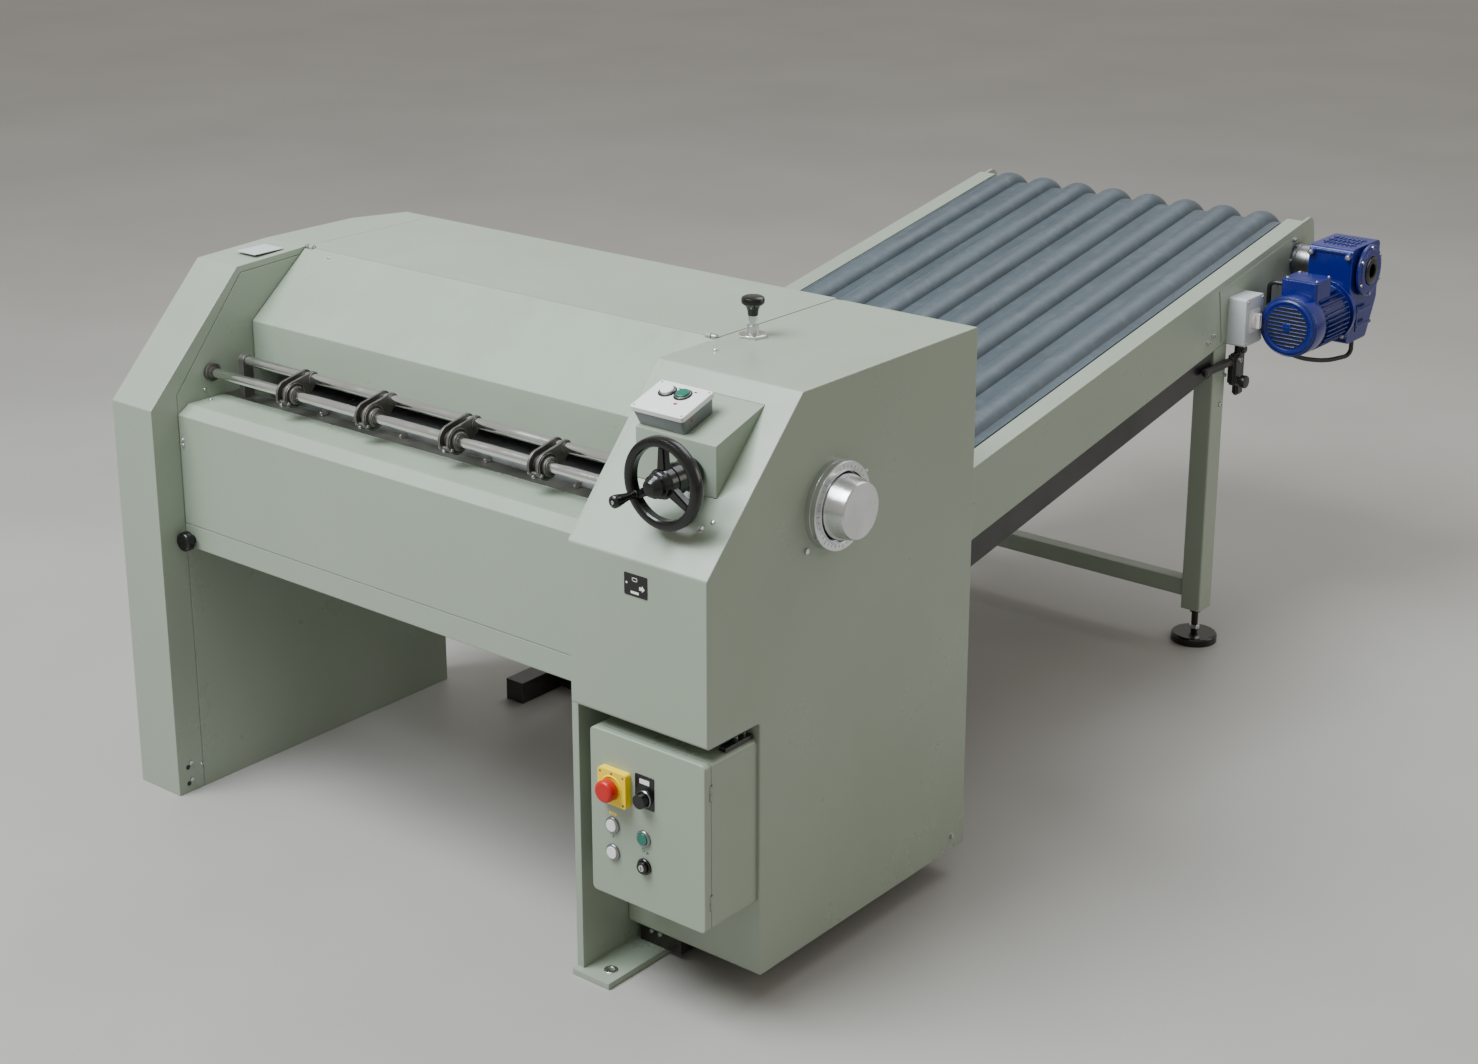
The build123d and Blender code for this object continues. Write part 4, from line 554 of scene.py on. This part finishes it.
def feed_details():
    """Screwed hold-down tabs at the end of the infeed plate, a bright seam strip and the slot's dark lip."""
    plate_end = -152
    tabs = Piece("feed_tabs", "root", "plate_steel")
    screws = Piece("feed_tab_screws", "root", "bright_steel")
    for number in range(5):
        x = -518 + 228 * number
        tabs.slab(rounded(16, 16, 2.5), (x, plate_end - 9, TABLE_TOP), X, Y, 2, 0.4)
        tabs.block((x - 8, plate_end - 2, TABLE_TOP), (x + 8, plate_end, TABLE_TOP + 9), 0.5)
        screws.cap_screw((x, plate_end - 11, TABLE_TOP + 2), Z, 7)
    tabs.done()
    screws.done()
    strip = Piece("feed_edge_strip", "root", "bright_steel")
    strip.block((-553, -193.4, TABLE_TOP - 1), (553, -191.6, TABLE_TOP + 0.9), 0.3)
    strip.done()
    lip = Piece("feed_lip", "root", "dark_cast")
    lip.block((-550, plate_end + 1, TABLE_TOP - 16), (550, plate_end + 5, TABLE_TOP - 1), 1)
    lip.done()


def clamp_details():
    """Each clamp gets pressed rims, a split collar, spacers between its cheeks and pinch bolts."""
    front, rear = middle_of("front_rod"), middle_of("rear_rod")
    for number in range(1, 5):
        body = f"rod_clamp_{number}"
        left = lowest(body).x + 3
        right = highest(body).x - 9
        trim = Piece(f"clamp_trim_{number}", body, "dark_cast")
        for face, way in ((left, -X), (right, X)):
            for rod, outer in ((front, 24.5), (rear, 12.6)):
                rows = ((outer - 2.2, 0), (outer, 0), (outer, 1.0), (outer - 0.5, 1.4), (outer - 1.7, 1.4),
                        (outer - 2.2, 1.0), (outer - 2.2, 0))
                trim.turned(rows, (face, rod.y, rod.z), way, 48)
        rows = ((15.2, 0), (18, 0), (18, 6.5), (17, 7.6), (15.2, 7.6), (15.2, 0))
        trim.turned(rows, (right, front.y, front.z), X, 40)
        for y, z in ((front.y - 19, front.z - 13), (front.y + 19, front.z - 15)):
            trim.rod([(left + 4.5, y, z), (right - 4.5, y, z)], 4.5)
        trim.done()
        bolts = Piece(f"clamp_bolts_{number}", body, "bright_steel")
        for face, way in ((left, -X), (right, X)):
            bolts.cap_screw((face, front.y - 19, front.z - 13), way, 6.5)
            bolts.button_screw((face, front.y + 19, front.z - 15), way, 6.5)
        bolts.cap_screw(((left + right) / 2, front.y - 23.5, front.z - 16), Vector((0, -0.9, -0.44)), 6)
        bolts.done()


# ---------------------------------------------------------------- controls on the cabinet

def make_handwheel():
    """A moulded wheel: a square-shouldered rim, three tapered spokes and a stepped bell hub."""
    middle = middle_of("handwheel")
    x, y, z = middle.x, -350, middle.z  # y: the plane halfway through the rim
    wheel = Piece("handwheel_moulding", "handwheel", "black_plastic")
    rim = ((62.5, -7), (64.5, -10), (68, -11), (74, -11), (78, -9.5), (79.8, -6), (79.8, 5),
           (78, 8.6), (74, 10.4), (68, 10.4), (64.5, 9.4), (62.5, 6.5), (62.5, -7))
    wheel.turned(rim, (x, y, z), -Y, 96)
    bell = ((0, -73), (25, -73), (27, -71), (27, -52), (25.5, -50), (25.5, -34), (28, -31), (28, -12),
            (26.5, -10), (26.5, 4), (24, 6), (23, 14), (21, 16), (20, 24), (18, 26), (15.5, 33), (11, 37.5),
            (0, 39))
    wheel.turned(bell, (x, y, z), -Y, 48)
    for angle in (90, 210, 330):
        out = Vector((cos(radians(angle)), 0, sin(radians(angle))))
        across = Vector((-sin(radians(angle)), 0, cos(radians(angle))))
        arm = [(22, -9.5), (64, -6.5), (64, 6.5), (22, 9.5)]
        wheel.slab(arm, (x, y + 7.5, z), out, across, 14, 2.4)
    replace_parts(wheel.done(), "handwheel")
    boss = Piece("grip_boss", "handwheel", "bright_steel")
    grip = middle_of("handwheel_grip")
    stem_end = y - 10 - highest("handwheel_grip").y
    rows = ((0, 0), (7, 0), (7, 2.4), (6, 3.2), (4.6, 3.6), (4.6, stem_end))
    boss.turned(rows, (grip.x, y - 9, grip.z), -Y, 32)
    boss.done()


def make_grip():
    """A pear-shaped grip, recessed at its end for the head of its spindle screw."""
    low, high = lowest("handwheel_grip"), highest("handwheel_grip")
    x, z, length = (low.x + high.x) / 2, (low.z + high.z) / 2, high.y - low.y
    grip = Piece("grip_moulding", "handwheel_grip", "black_plastic")
    rows = ((0, 0), (6.4, 0), (7.4, 1.2), (7.6, 4), (6.2, 8), (6.6, 16), (8.4, 27), (10.6, 38), (11.4, 45),
            (11, 50), (9.2, length - 2.4), (6.8, length - 0.4), (5.2, length), (4.6, length - 0.6),
            (4.6, length - 3), (0, length - 3))
    grip.turned(rows, (x, high.y, z), -Y, 40)
    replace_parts(grip.done(), "handwheel_grip")
    end = Piece("grip_screw", "handwheel_grip", "bright_steel")
    rows = ((0, 0), (3.9, 0), (3.9, 1.2), (3.2, 2.4), (2.2, 2.4), (2.0, 1.0, "hex"), (0, 1.0))
    end.turned(rows, (x, low.y + 3, z), -Y, 24)
    end.done()


def dial_marks():
    """Graduations on the fixed flange, an index pin and the knob's set screw."""
    middle = middle_of("dial_base")
    face, y, z = highest("dial_base").x, middle.y, middle.z
    rim_height = 10.4
    ticks = Piece("dial_ticks", "root", "black_paint")
    for step in range(40):
        angle = radians(9 * step)
        out = Vector((0, cos(angle), sin(angle)))
        length = 8 if step % 5 == 0 else 4.5
        centre = Vector((face + rim_height, y, z)) + out * (68 + length / 2)
        ticks.slab(rounded(length, 0.9, 0.3, 2), centre, out, X.cross(out), 0.15, 0)
    ticks.done()
    rim = Piece("dial_rim", "root", "turned_aluminium")
    rows = ((63, -1), (79.9, -1), (79.9, 9), (78.5, rim_height), (67, rim_height), (66.2, 9.2), (65, 9.2),
            (64.2, 11.6), (63, 11.6), (63, -1))
    rim.turned(rows, (face, y, z), X, 96)
    rim.done()
    pin = Piece("dial_index_pin", "root", "bright_steel")
    pin.turned(((0, 0), (3.4, 0), (3.4, 16), (2.6, 18.5), (0, 19.4)), (CASING_HIGH.x, y + 74, z + 44), X, 20)
    pin.done()
    screw = Piece("dial_set_screw", "dial_knob", "bright_steel")
    rows = ((0, 0), (3.2, 0), (3.2, 0.7), (2.1, 0.8, "hex"), (0, 0.5))
    screw.turned(rows, (highest("dial_knob").x - 5, y - 34, z + 37.5), Vector((0.2, -0.67, 0.74)), 20)
    screw.done()


def plunger_trim():
    """A glossy mushroom knob on a tapered neck, over a bright stem that rises from a nut."""
    low, high = lowest("plunger_base"), highest("plunger_base")
    x, y = (low.x + high.x) / 2, (low.y + high.y) / 2
    crown = highest("plunger_knob").z
    knob = Piece("plunger_mushroom", "plunger_knob", "black_plastic")
    neck = -36.5
    rows = ((0, neck), (9, neck), (9.4, neck + 1), (10.5, -26), (13.5, -19), (18.5, -15.5), (21, -13),
            (21.4, -10.5), (21.4, -6), (20.2, -3), (17, -1), (12, -0.2), (0, 0))
    knob.turned(rows, (x, y, crown), Z, 56)
    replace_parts(knob.done(), "plunger_knob")
    stem = Piece("plunger_stem", "plunger_knob", "bright_steel")
    travel_end = high.z - crown + 8.6
    rows = ((0, -116), (5.9, -116), (5.9, travel_end), (8.3, travel_end), (8.3, neck), (0, neck))
    stem.turned(rows, (x, y, crown), Z, 32)
    stem.done()
    nut = Piece("plunger_nut", "root", "bright_steel")
    rows = ((17.4, 0), (24, 0, "hex"), (24, 5, "hex"), (22.4, 6.4), (17.4, 6.4), (17.4, 0))
    nut.turned(rows, (x, y, low.z), Z, 48)
    nut.done()


def station_trim():
    """The two-button station: a dark tapered skirt, a bezel round each button and a plain red mark."""
    console_rise, console_run = 41, 128
    tilt = atan2(console_rise, console_run)
    uphill = Vector((0, cos(tilt), sin(tilt)))
    out = X.cross(uphill)
    middle = (lowest("station_stop_button") + highest("station_start_button")) / 2
    base = middle + X * 5 - uphill * 16 - out * 37.3
    lid_top = 38.0
    skirt = Piece("station_skirt", "root", "motor_grey")
    sections = []
    for width, depth, radius, height in ((103.4, 77.4, 6.5, 0.4), (112.6, 84.6, 6.5, 28.4), (115, 87, 6, 28.8),
                                         (102.8, 76.8, 6.4, 28.8), (102.6, 76.6, 6.4, 0.4)):
        sections.append((rounded(width, depth, radius), base + out * height))
    skirt.lofted(sections, X, uphill)
    skirt.done()
    boots = Piece("station_boots", "root", "black_plastic")
    bezels = Piece("station_bezels", "root", "roller_steel")
    boot_rows = ((12.5, 0), (17, 0), (16.6, 1.0), (15.4, 1.4), (12.5, 1.4), (12.5, 0))
    bezel_rows = ((12.4, 1.2), (14.6, 1.2), (14.6, 2.8), (13.8, 3.6), (12.4, 3.4), (12.4, 1.2))
    for x in (-22, 12):
        centre = base + X * x + uphill * 16 + out * lid_top
        boots.turned(boot_rows, centre, out, 40)
        bezels.turned(bezel_rows, centre, out, 40)
        boots.slab(rounded(7, 2.6, 1, 3), centre + X * 17 + uphill * 14, X, uphill, 0.2, 0)
    boots.done()
    bezels.done()
    marks = Piece("station_marks", "root", "red_plastic")
    diamond = [(-5, 0), (0, -4), (5, 0), (0, 4)]
    marks.slab(diamond, base + X * 17 - uphill * 11 + out * lid_top, X, uphill, 0.2, 0)
    marks.turned(((0, 0), (3, 0), (2.6, 0.8), (0, 1)), base + X * 54.8 - uphill * 20 + out * 20, X, 20)
    marks.done()
    screws = Piece("station_screws", "root", "dark_cast")
    rows = ((0, 0), (2, 0), (1.8, 0.4), (0, 0.5))
    for dx in (-52, 52):
        for dy in (-38, 38):
            screws.turned(rows, base + X * dx + uphill * dy + out * lid_top, out, 16)
    screws.done()


# ---------------------------------------------------------------- electrical box

DOOR_FACE = lowest("box_door").y


def door_rings():
    """A bezel round each device of the door, the selector's plate and the key switch's barrel."""
    bezels = Piece("button_bezels", "box_door", "roller_steel")
    for node, inner, outer in (("upper_button", 11.3, 15.0), ("lower_button", 11.3, 15.0),
                               ("start_button", 11.3, 15.0), ("selector_knob", 14.3, 16.0)):
        middle = middle_of(node)
        rows = ((inner, 0), (outer, 0), (outer, 3.0), (outer - 0.9, 4.4), (inner + 0.5, 4.8), (inner, 4.4),
                (inner, 0))
        bezels.turned(rows, (middle.x, DOOR_FACE, middle.z), -Y, 48)
    bezels.done()
    plate = Piece("selector_plate", "box_door", "black_plastic")
    selector = middle_of("selector_knob")
    thickness = 0.9
    plate.slab(rounded(43, 61, 2.5), (selector.x, DOOR_FACE, selector.z + 12), X, Z, thickness, 0.3)
    plate.done()
    legend = Piece("selector_legend", "box_door", "white_plastic")
    legend.slab(rounded(22, 9, 1, 3), (selector.x, DOOR_FACE - thickness, selector.z + 31), X, Z, 0.3, 0)
    legend.done()
    key = middle_of("key_switch")
    key_face = lowest("key_switch").y
    ring = Piece("key_ring", "box_door", "black_plastic")
    rows = ((11.3, 0), (15, 0), (15, 3.4), (13.8, 4.8), (11.3, 5.0), (11.3, 0))
    ring.turned(rows, (key.x, DOOR_FACE, key.z), -Y, 40)
    ring.done()
    barrel = Piece("key_barrel", "key_switch", "bright_steel")
    barrel.turned(((0, 0), (6, 0), (6, 0.8), (5.2, 1.4), (0, 1.4)), (key.x, key_face + 0.2, key.z), -Y, 32)
    barrel.done()
    slot = Piece("key_slot", "key_switch", "black_plastic")
    slot.slab(rounded(1.6, 7, 0.6, 2), (key.x, key_face - 1.1, key.z), X, Z, 0.25, 0)
    slot.done()


def estop_trim():
    """The emergency stop's yellow collar, its four screws and a small arrow."""
    stop = middle_of("estop_base")
    front = lowest("estop_base").y
    collar = Piece("estop_collar", "box_door", "yellow_plastic")
    rows = ((20.6, 0), (23.5, 0), (22.9, 1.2), (21.9, 1.7), (20.6, 1.5), (20.6, 0))
    collar.turned(rows, (stop.x, front, stop.z), -Y, 48)
    collar.done()
    screws = Piece("estop_screws", "box_door", "dark_cast")
    rows = ((0, 0), (2.3, 0), (2.1, 0.5), (0, 0.6))
    for dx in (-26, 26):
        for dz in (-26, 26):
            screws.turned(rows, (stop.x + dx, front, stop.z + dz), -Y, 16)
    screws.slab([(-3.4, -2.4), (3.4, -2.4), (0, 3.6)], (stop.x, front, stop.z + 27), X, Z, 0.2, 0)
    screws.done()


def door_marks():
    """Plain printed marks beside the buttons: three bars, a ring, an arrow and a triangle."""
    upper, start = middle_of("upper_button"), middle_of("start_button")
    bars = Piece("door_marks_yellow", "box_door", "yellow_plastic")
    for dx in (-6, 0, 6):
        bars.slab(rounded(4, 5, 0.8, 2), (upper.x + dx, DOOR_FACE, upper.z + 21), X, Z, 0.15, 0)
    bars.done()
    marks = Piece("door_marks_green", "box_door", "green_plastic")
    rows = ((2.4, 0), (3.6, 0), (3.6, 0.15), (2.4, 0.15), (2.4, 0))
    marks.turned(rows, (start.x - 2, DOOR_FACE, start.z - 23), -Y, 20)
    marks.slab([(-3, -3), (3, 0), (-3, 3)], (start.x + 8, DOOR_FACE, start.z - 26), X, Z, 0.15, 0)
    marks.slab([(-2.4, -2), (2.4, -2), (0, 2.6)], (upper.x, DOOR_FACE, upper.z - 22), X, Z, 0.15, 0)
    marks.done()


def box_bolts():
    bolts = Piece("box_bolts", "root", "bright_steel")
    top = highest("box_brackets")
    for y in (-268, -246):
        bolts.cap_screw((top.x - 12, y, top.z), Z, 7)
    for x in (612, 632):
        bolts.cap_screw((x, -212, 40), -Y, 9)
    bolts.done()


# ---------------------------------------------------------------- conveyor

RAIL_FACE = highest("conveyor_rails").x
HEAD_Y, HEAD_Z = 2073, 882  # the head drum's axis
LEGS_X = (-213, 677)
SPLICE_START = 1692
RAIL_BOLTS = ((1661, 776), (1639, 764), (2052, 932), (2034, 884), (1978, 837))


def conveyor_trim():
    """Bolts and a splice plate on the rail, nuts on the tail drum's shaft and lock nuts on the feet."""
    bolts = Piece("rail_bolts", "root", "bright_steel")
    washer = ((0, 0), (8.4, 0), (8.4, 1.2), (0, 1.2))
    for y, z in RAIL_BOLTS:
        bolts.cap_screw((RAIL_FACE, y, z), X, 11)
        bolts.turned(washer, (RAIL_FACE, y, z), X, 24)
    bolts.done()
    splice = Piece("rail_splice", "root", "sage_paint")
    outline = [(0, -66), (360, -66), (360, 64), (0, 64)]
    corner = Vector((RAIL_FACE, SPLICE_START, HEAD_Z - (HEAD_Y - SPLICE_START) * RAIL_RISE))
    splice.slab(outline, corner, UPHILL, OFF_RAIL, 1.6, 0.8)
    splice.done()
    nuts = Piece("drum_nuts", "root", "bright_steel")
    tail = middle_of("tail_drum")
    rows = ((25, 0), (30, 0), (30, 3), (28, 4.5), (25, 4.5), (25, 0))
    for x, way in ((RAIL_FACE, X), (lowest("conveyor_rails").x, -X)):
        nuts.turned(rows, (x, tail.y, tail.z), way, 48)
    nuts.done()
    nuts = Piece("foot_nuts", "root", "bright_steel")
    leg_end = lowest("leg_frame").z
    foot = middle_of("levelling_feet")
    for x in LEGS_X:
        for z, height in ((leg_end - 10.4, 10), (30, 9)):
            rows = ((8.2, 0), (11, 0, "hex"), (11, height - 1, "hex"), (10, height), (8.2, height), (8.2, 0))
            nuts.turned(rows, (x, foot.y, z), Z, 36)
    nuts.done()


def leg_clamp():
    """The blackened clamp that sets the height of the leg, with its link and knob."""
    clamp = Piece("leg_clamp", "root", "black_paint")
    clamp.block((704, 1766, 610), (720, 1796, 738), 4)
    clamp.block((704, 1612, 690), (718, 1768, 708), 3)
    clamp.block((702, 1741, 640), (724, 1772, 716), 5)
    knob = ((0, 0), (13, 0), (13, 3), (9, 4), (9, 12), (15, 14), (15.5, 24), (14, 27), (0, 28))
    clamp.turned(knob, (720, 1757, 651), X, 32)
    clamp.turned(((0, 0), (11, 0), (11, 5), (8, 8), (0, 8.6)), (720, 1781, 722), X, 24)
    clamp.done()
    bolts = Piece("leg_clamp_bolts", "root", "bright_steel")
    bolts.cap_screw((724, 1757, 702), X, 12)
    bolts.cap_screw((702, 1727, 668), X, 10)
    bolts.button_screw((702, 1716, 598), X, 12)
    bolts.done()


def isolator_trim():
    """The isolator's lid plate with its screws, and the red mark on its knob."""
    low, high = lowest("isolator_box"), highest("isolator_box")
    knob = middle_of("isolator_knob")
    plate = Piece("isolator_plate", "root", "light_grey_plastic")
    plate.slab(rounded(54, 54, 6), (high.x, knob.y, knob.z), Y, Z, 1.6)
    plate.done()
    screws = Piece("isolator_screws", "root", "bright_steel")
    for y in (low.y + 8, high.y - 8):
        for z in (low.z + 8, high.z - 8):
            screws.button_screw((high.x, y, z), X, 6.5)
    screws.done()
    mark = Piece("isolator_mark", "isolator_knob", "red_plastic")
    mark.slab(rounded(2.4, 13, 0.8, 2), (highest("isolator_knob").x, knob.y, knob.z + 8), Y, Z, 0.3, 0)
    mark.done()


# ---------------------------------------------------------------- gear motor

MOTOR_X, MOTOR_Z = 823, 790  # the motor's axis
MOTOR_RADIUS = 69


def motor_trim():
    """Cooling fins, a slotted fan cowl, and the terminal box's lid with its screws."""
    front = lowest("gear_motor").y
    fins = Piece("motor_fins", "root", "blue_paint")
    for step in range(36):
        angle = radians(10 * step)
        if radians(62) < angle < radians(118):  # the terminal box stands here
            continue
        out = Vector((cos(angle), 0, sin(angle)))
        centre = Vector((MOTOR_X, 1914, MOTOR_Z)) + out * (MOTOR_RADIUS + 1.2)
        fins.slab(rounded(112, 2.6, 0.6, 2), centre - out * 5, Y, out.cross(Y), 8.2, 0.6)
    fins.done()
    cowl = Piece("motor_cowl", "root", "blue_paint")
    rows = ((50, 1), (60, -1.6), (66, 0.6), (71.5, 7), (72.5, 16), (72.5, 50), (71.5, 54),
            (MOTOR_RADIUS, 56), (MOTOR_RADIUS, 1), (50, 1))
    cowl.turned(rows, (MOTOR_X, front, MOTOR_Z), Y, 72)
    grille_radius = 50.5
    for number in range(11):
        height = -45 + 9 * number
        half = (grille_radius**2 - height**2) ** 0.5
        cowl.slab(rounded(2 * half, 3.4, 1, 2), (MOTOR_X, front + 0.6, MOTOR_Z + height), X, Z, 2.6, 0.6)
    cowl.turned(((0, 0), (11, 0), (10, 1.6), (0, 2)), (MOTOR_X, front - 1.6, MOTOR_Z), -Y, 32)
    cowl.done()
    dark = Piece("motor_grille_shadow", "root", "cable_rubber")
    dark.turned(((0, 0), (51, 0), (51, 0.5), (0, 0.5)), (MOTOR_X, front, MOTOR_Z), -Y, 48)
    dark.done()
    lid = Piece("terminal_lid", "root", "blue_paint")
    top = highest("gear_motor").z
    box_y = 1884
    lid.slab(rounded(86, 76, 5), (MOTOR_X, box_y, top - 0.5), X, Y, 2.5, 0.8)
    lid.done()
    screws = Piece("terminal_screws", "root", "bright_steel")
    for dx in (-37, 37):
        for dy in (-31, 31):
            screws.button_screw((MOTOR_X + dx, box_y + dy, top + 2), Z, 6)
    screws.done()


def gearbox_trim():
    """Ribs, strips, bosses and the shaft flange of the gearbox, with their bolts, seal and sleeve."""
    low, high = lowest("gearbox"), highest("gearbox")
    face = high.x
    corners = [(x, z) for x in (MOTOR_X - 47, MOTOR_X + 47) for z in (735, 925)]
    case = Piece("gearbox_ribs", "root", "blue_paint")
    for number in range(7):
        place = (MOTOR_X - 33 + 11 * number, HEAD_Y, high.z - 0.4)
        case.slab(rounded(3, 84, 1, 2), place, X, Y, 2.6, 0.6)
    for number in range(3):
        place = (MOTOR_X, HEAD_Y - 28 + 28 * number, high.z - 0.4)
        case.slab(rounded(84, 3, 1, 2), place, X, Y, 2.6, 0.6)
    for z in (742, 800, 928):
        case.block((MOTOR_X - 53, low.y - 4, z), (MOTOR_X + 53, low.y + 4, z + 9), 1.6)
    flange = ((34, -1), (62, -1), (62, 4), (60, 6), (52, 6.6), (50, 9), (36, 9), (34, 7), (34, -1))
    case.turned(flange, (face, HEAD_Y, HEAD_Z), X, 72)
    for z in (752, 790):
        case.slab(rounded(80, 7, 2, 3), (face, HEAD_Y - 10, z), Y, Z, 4, 0.8)
    case.slab(rounded(7, 60, 2, 3), (face, HEAD_Y - 50, 771), Y, Z, 4, 0.8)
    for x, z in corners:
        case.turned(((0, 0), (8, 0), (8, 8), (7, 9), (0, 9)), (x, low.y - 1, z), -Y, 24)
    case.done()
    bolts = Piece("gearbox_bolts", "root", "bright_steel")
    for x, z in corners:
        bolts.hex_bolt((x, low.y - 10, z), -Y, 9)
    for step in range(6):
        angle = radians(30 + 60 * step)
        bolts.cap_screw((face + 5, HEAD_Y + 56 * cos(angle), HEAD_Z + 56 * sin(angle)), X, 8)
    bolts.done()
    sleeve = Piece("gearbox_sleeve", "root", "roller_steel")
    rows = ((38.3, 4), (41, 4), (41, 12), (39.2, 14), (39.2, 40), (42, 42), (42, 60), (38.3, 60), (38.3, 4))
    sleeve.turned(rows, (RAIL_FACE, HEAD_Y, HEAD_Z), X, 64)
    sleeve.done()
    seal = Piece("gearbox_seal", "root", "black_plastic")
    rows = ((17, -3), (17, 10), (19, 12), (30, 12), (33.5, 10), (33.5, -1), (17, -3))
    seal.turned(rows, (face, HEAD_Y, HEAD_Z), X, 48)
    seal.done()


# ---------------------------------------------------------------- the scene

make_camera()
make_stage()
finish_frame()
cabinet_trim()
label_plate()
anchor_rings()
feed_details()
clamp_details()
make_handwheel()
make_grip()
dial_marks()
plunger_trim()
station_trim()
door_rings()
estop_trim()
door_marks()
box_bolts()
conveyor_trim()
leg_clamp()
isolator_trim()
motor_trim()
gearbox_trim()
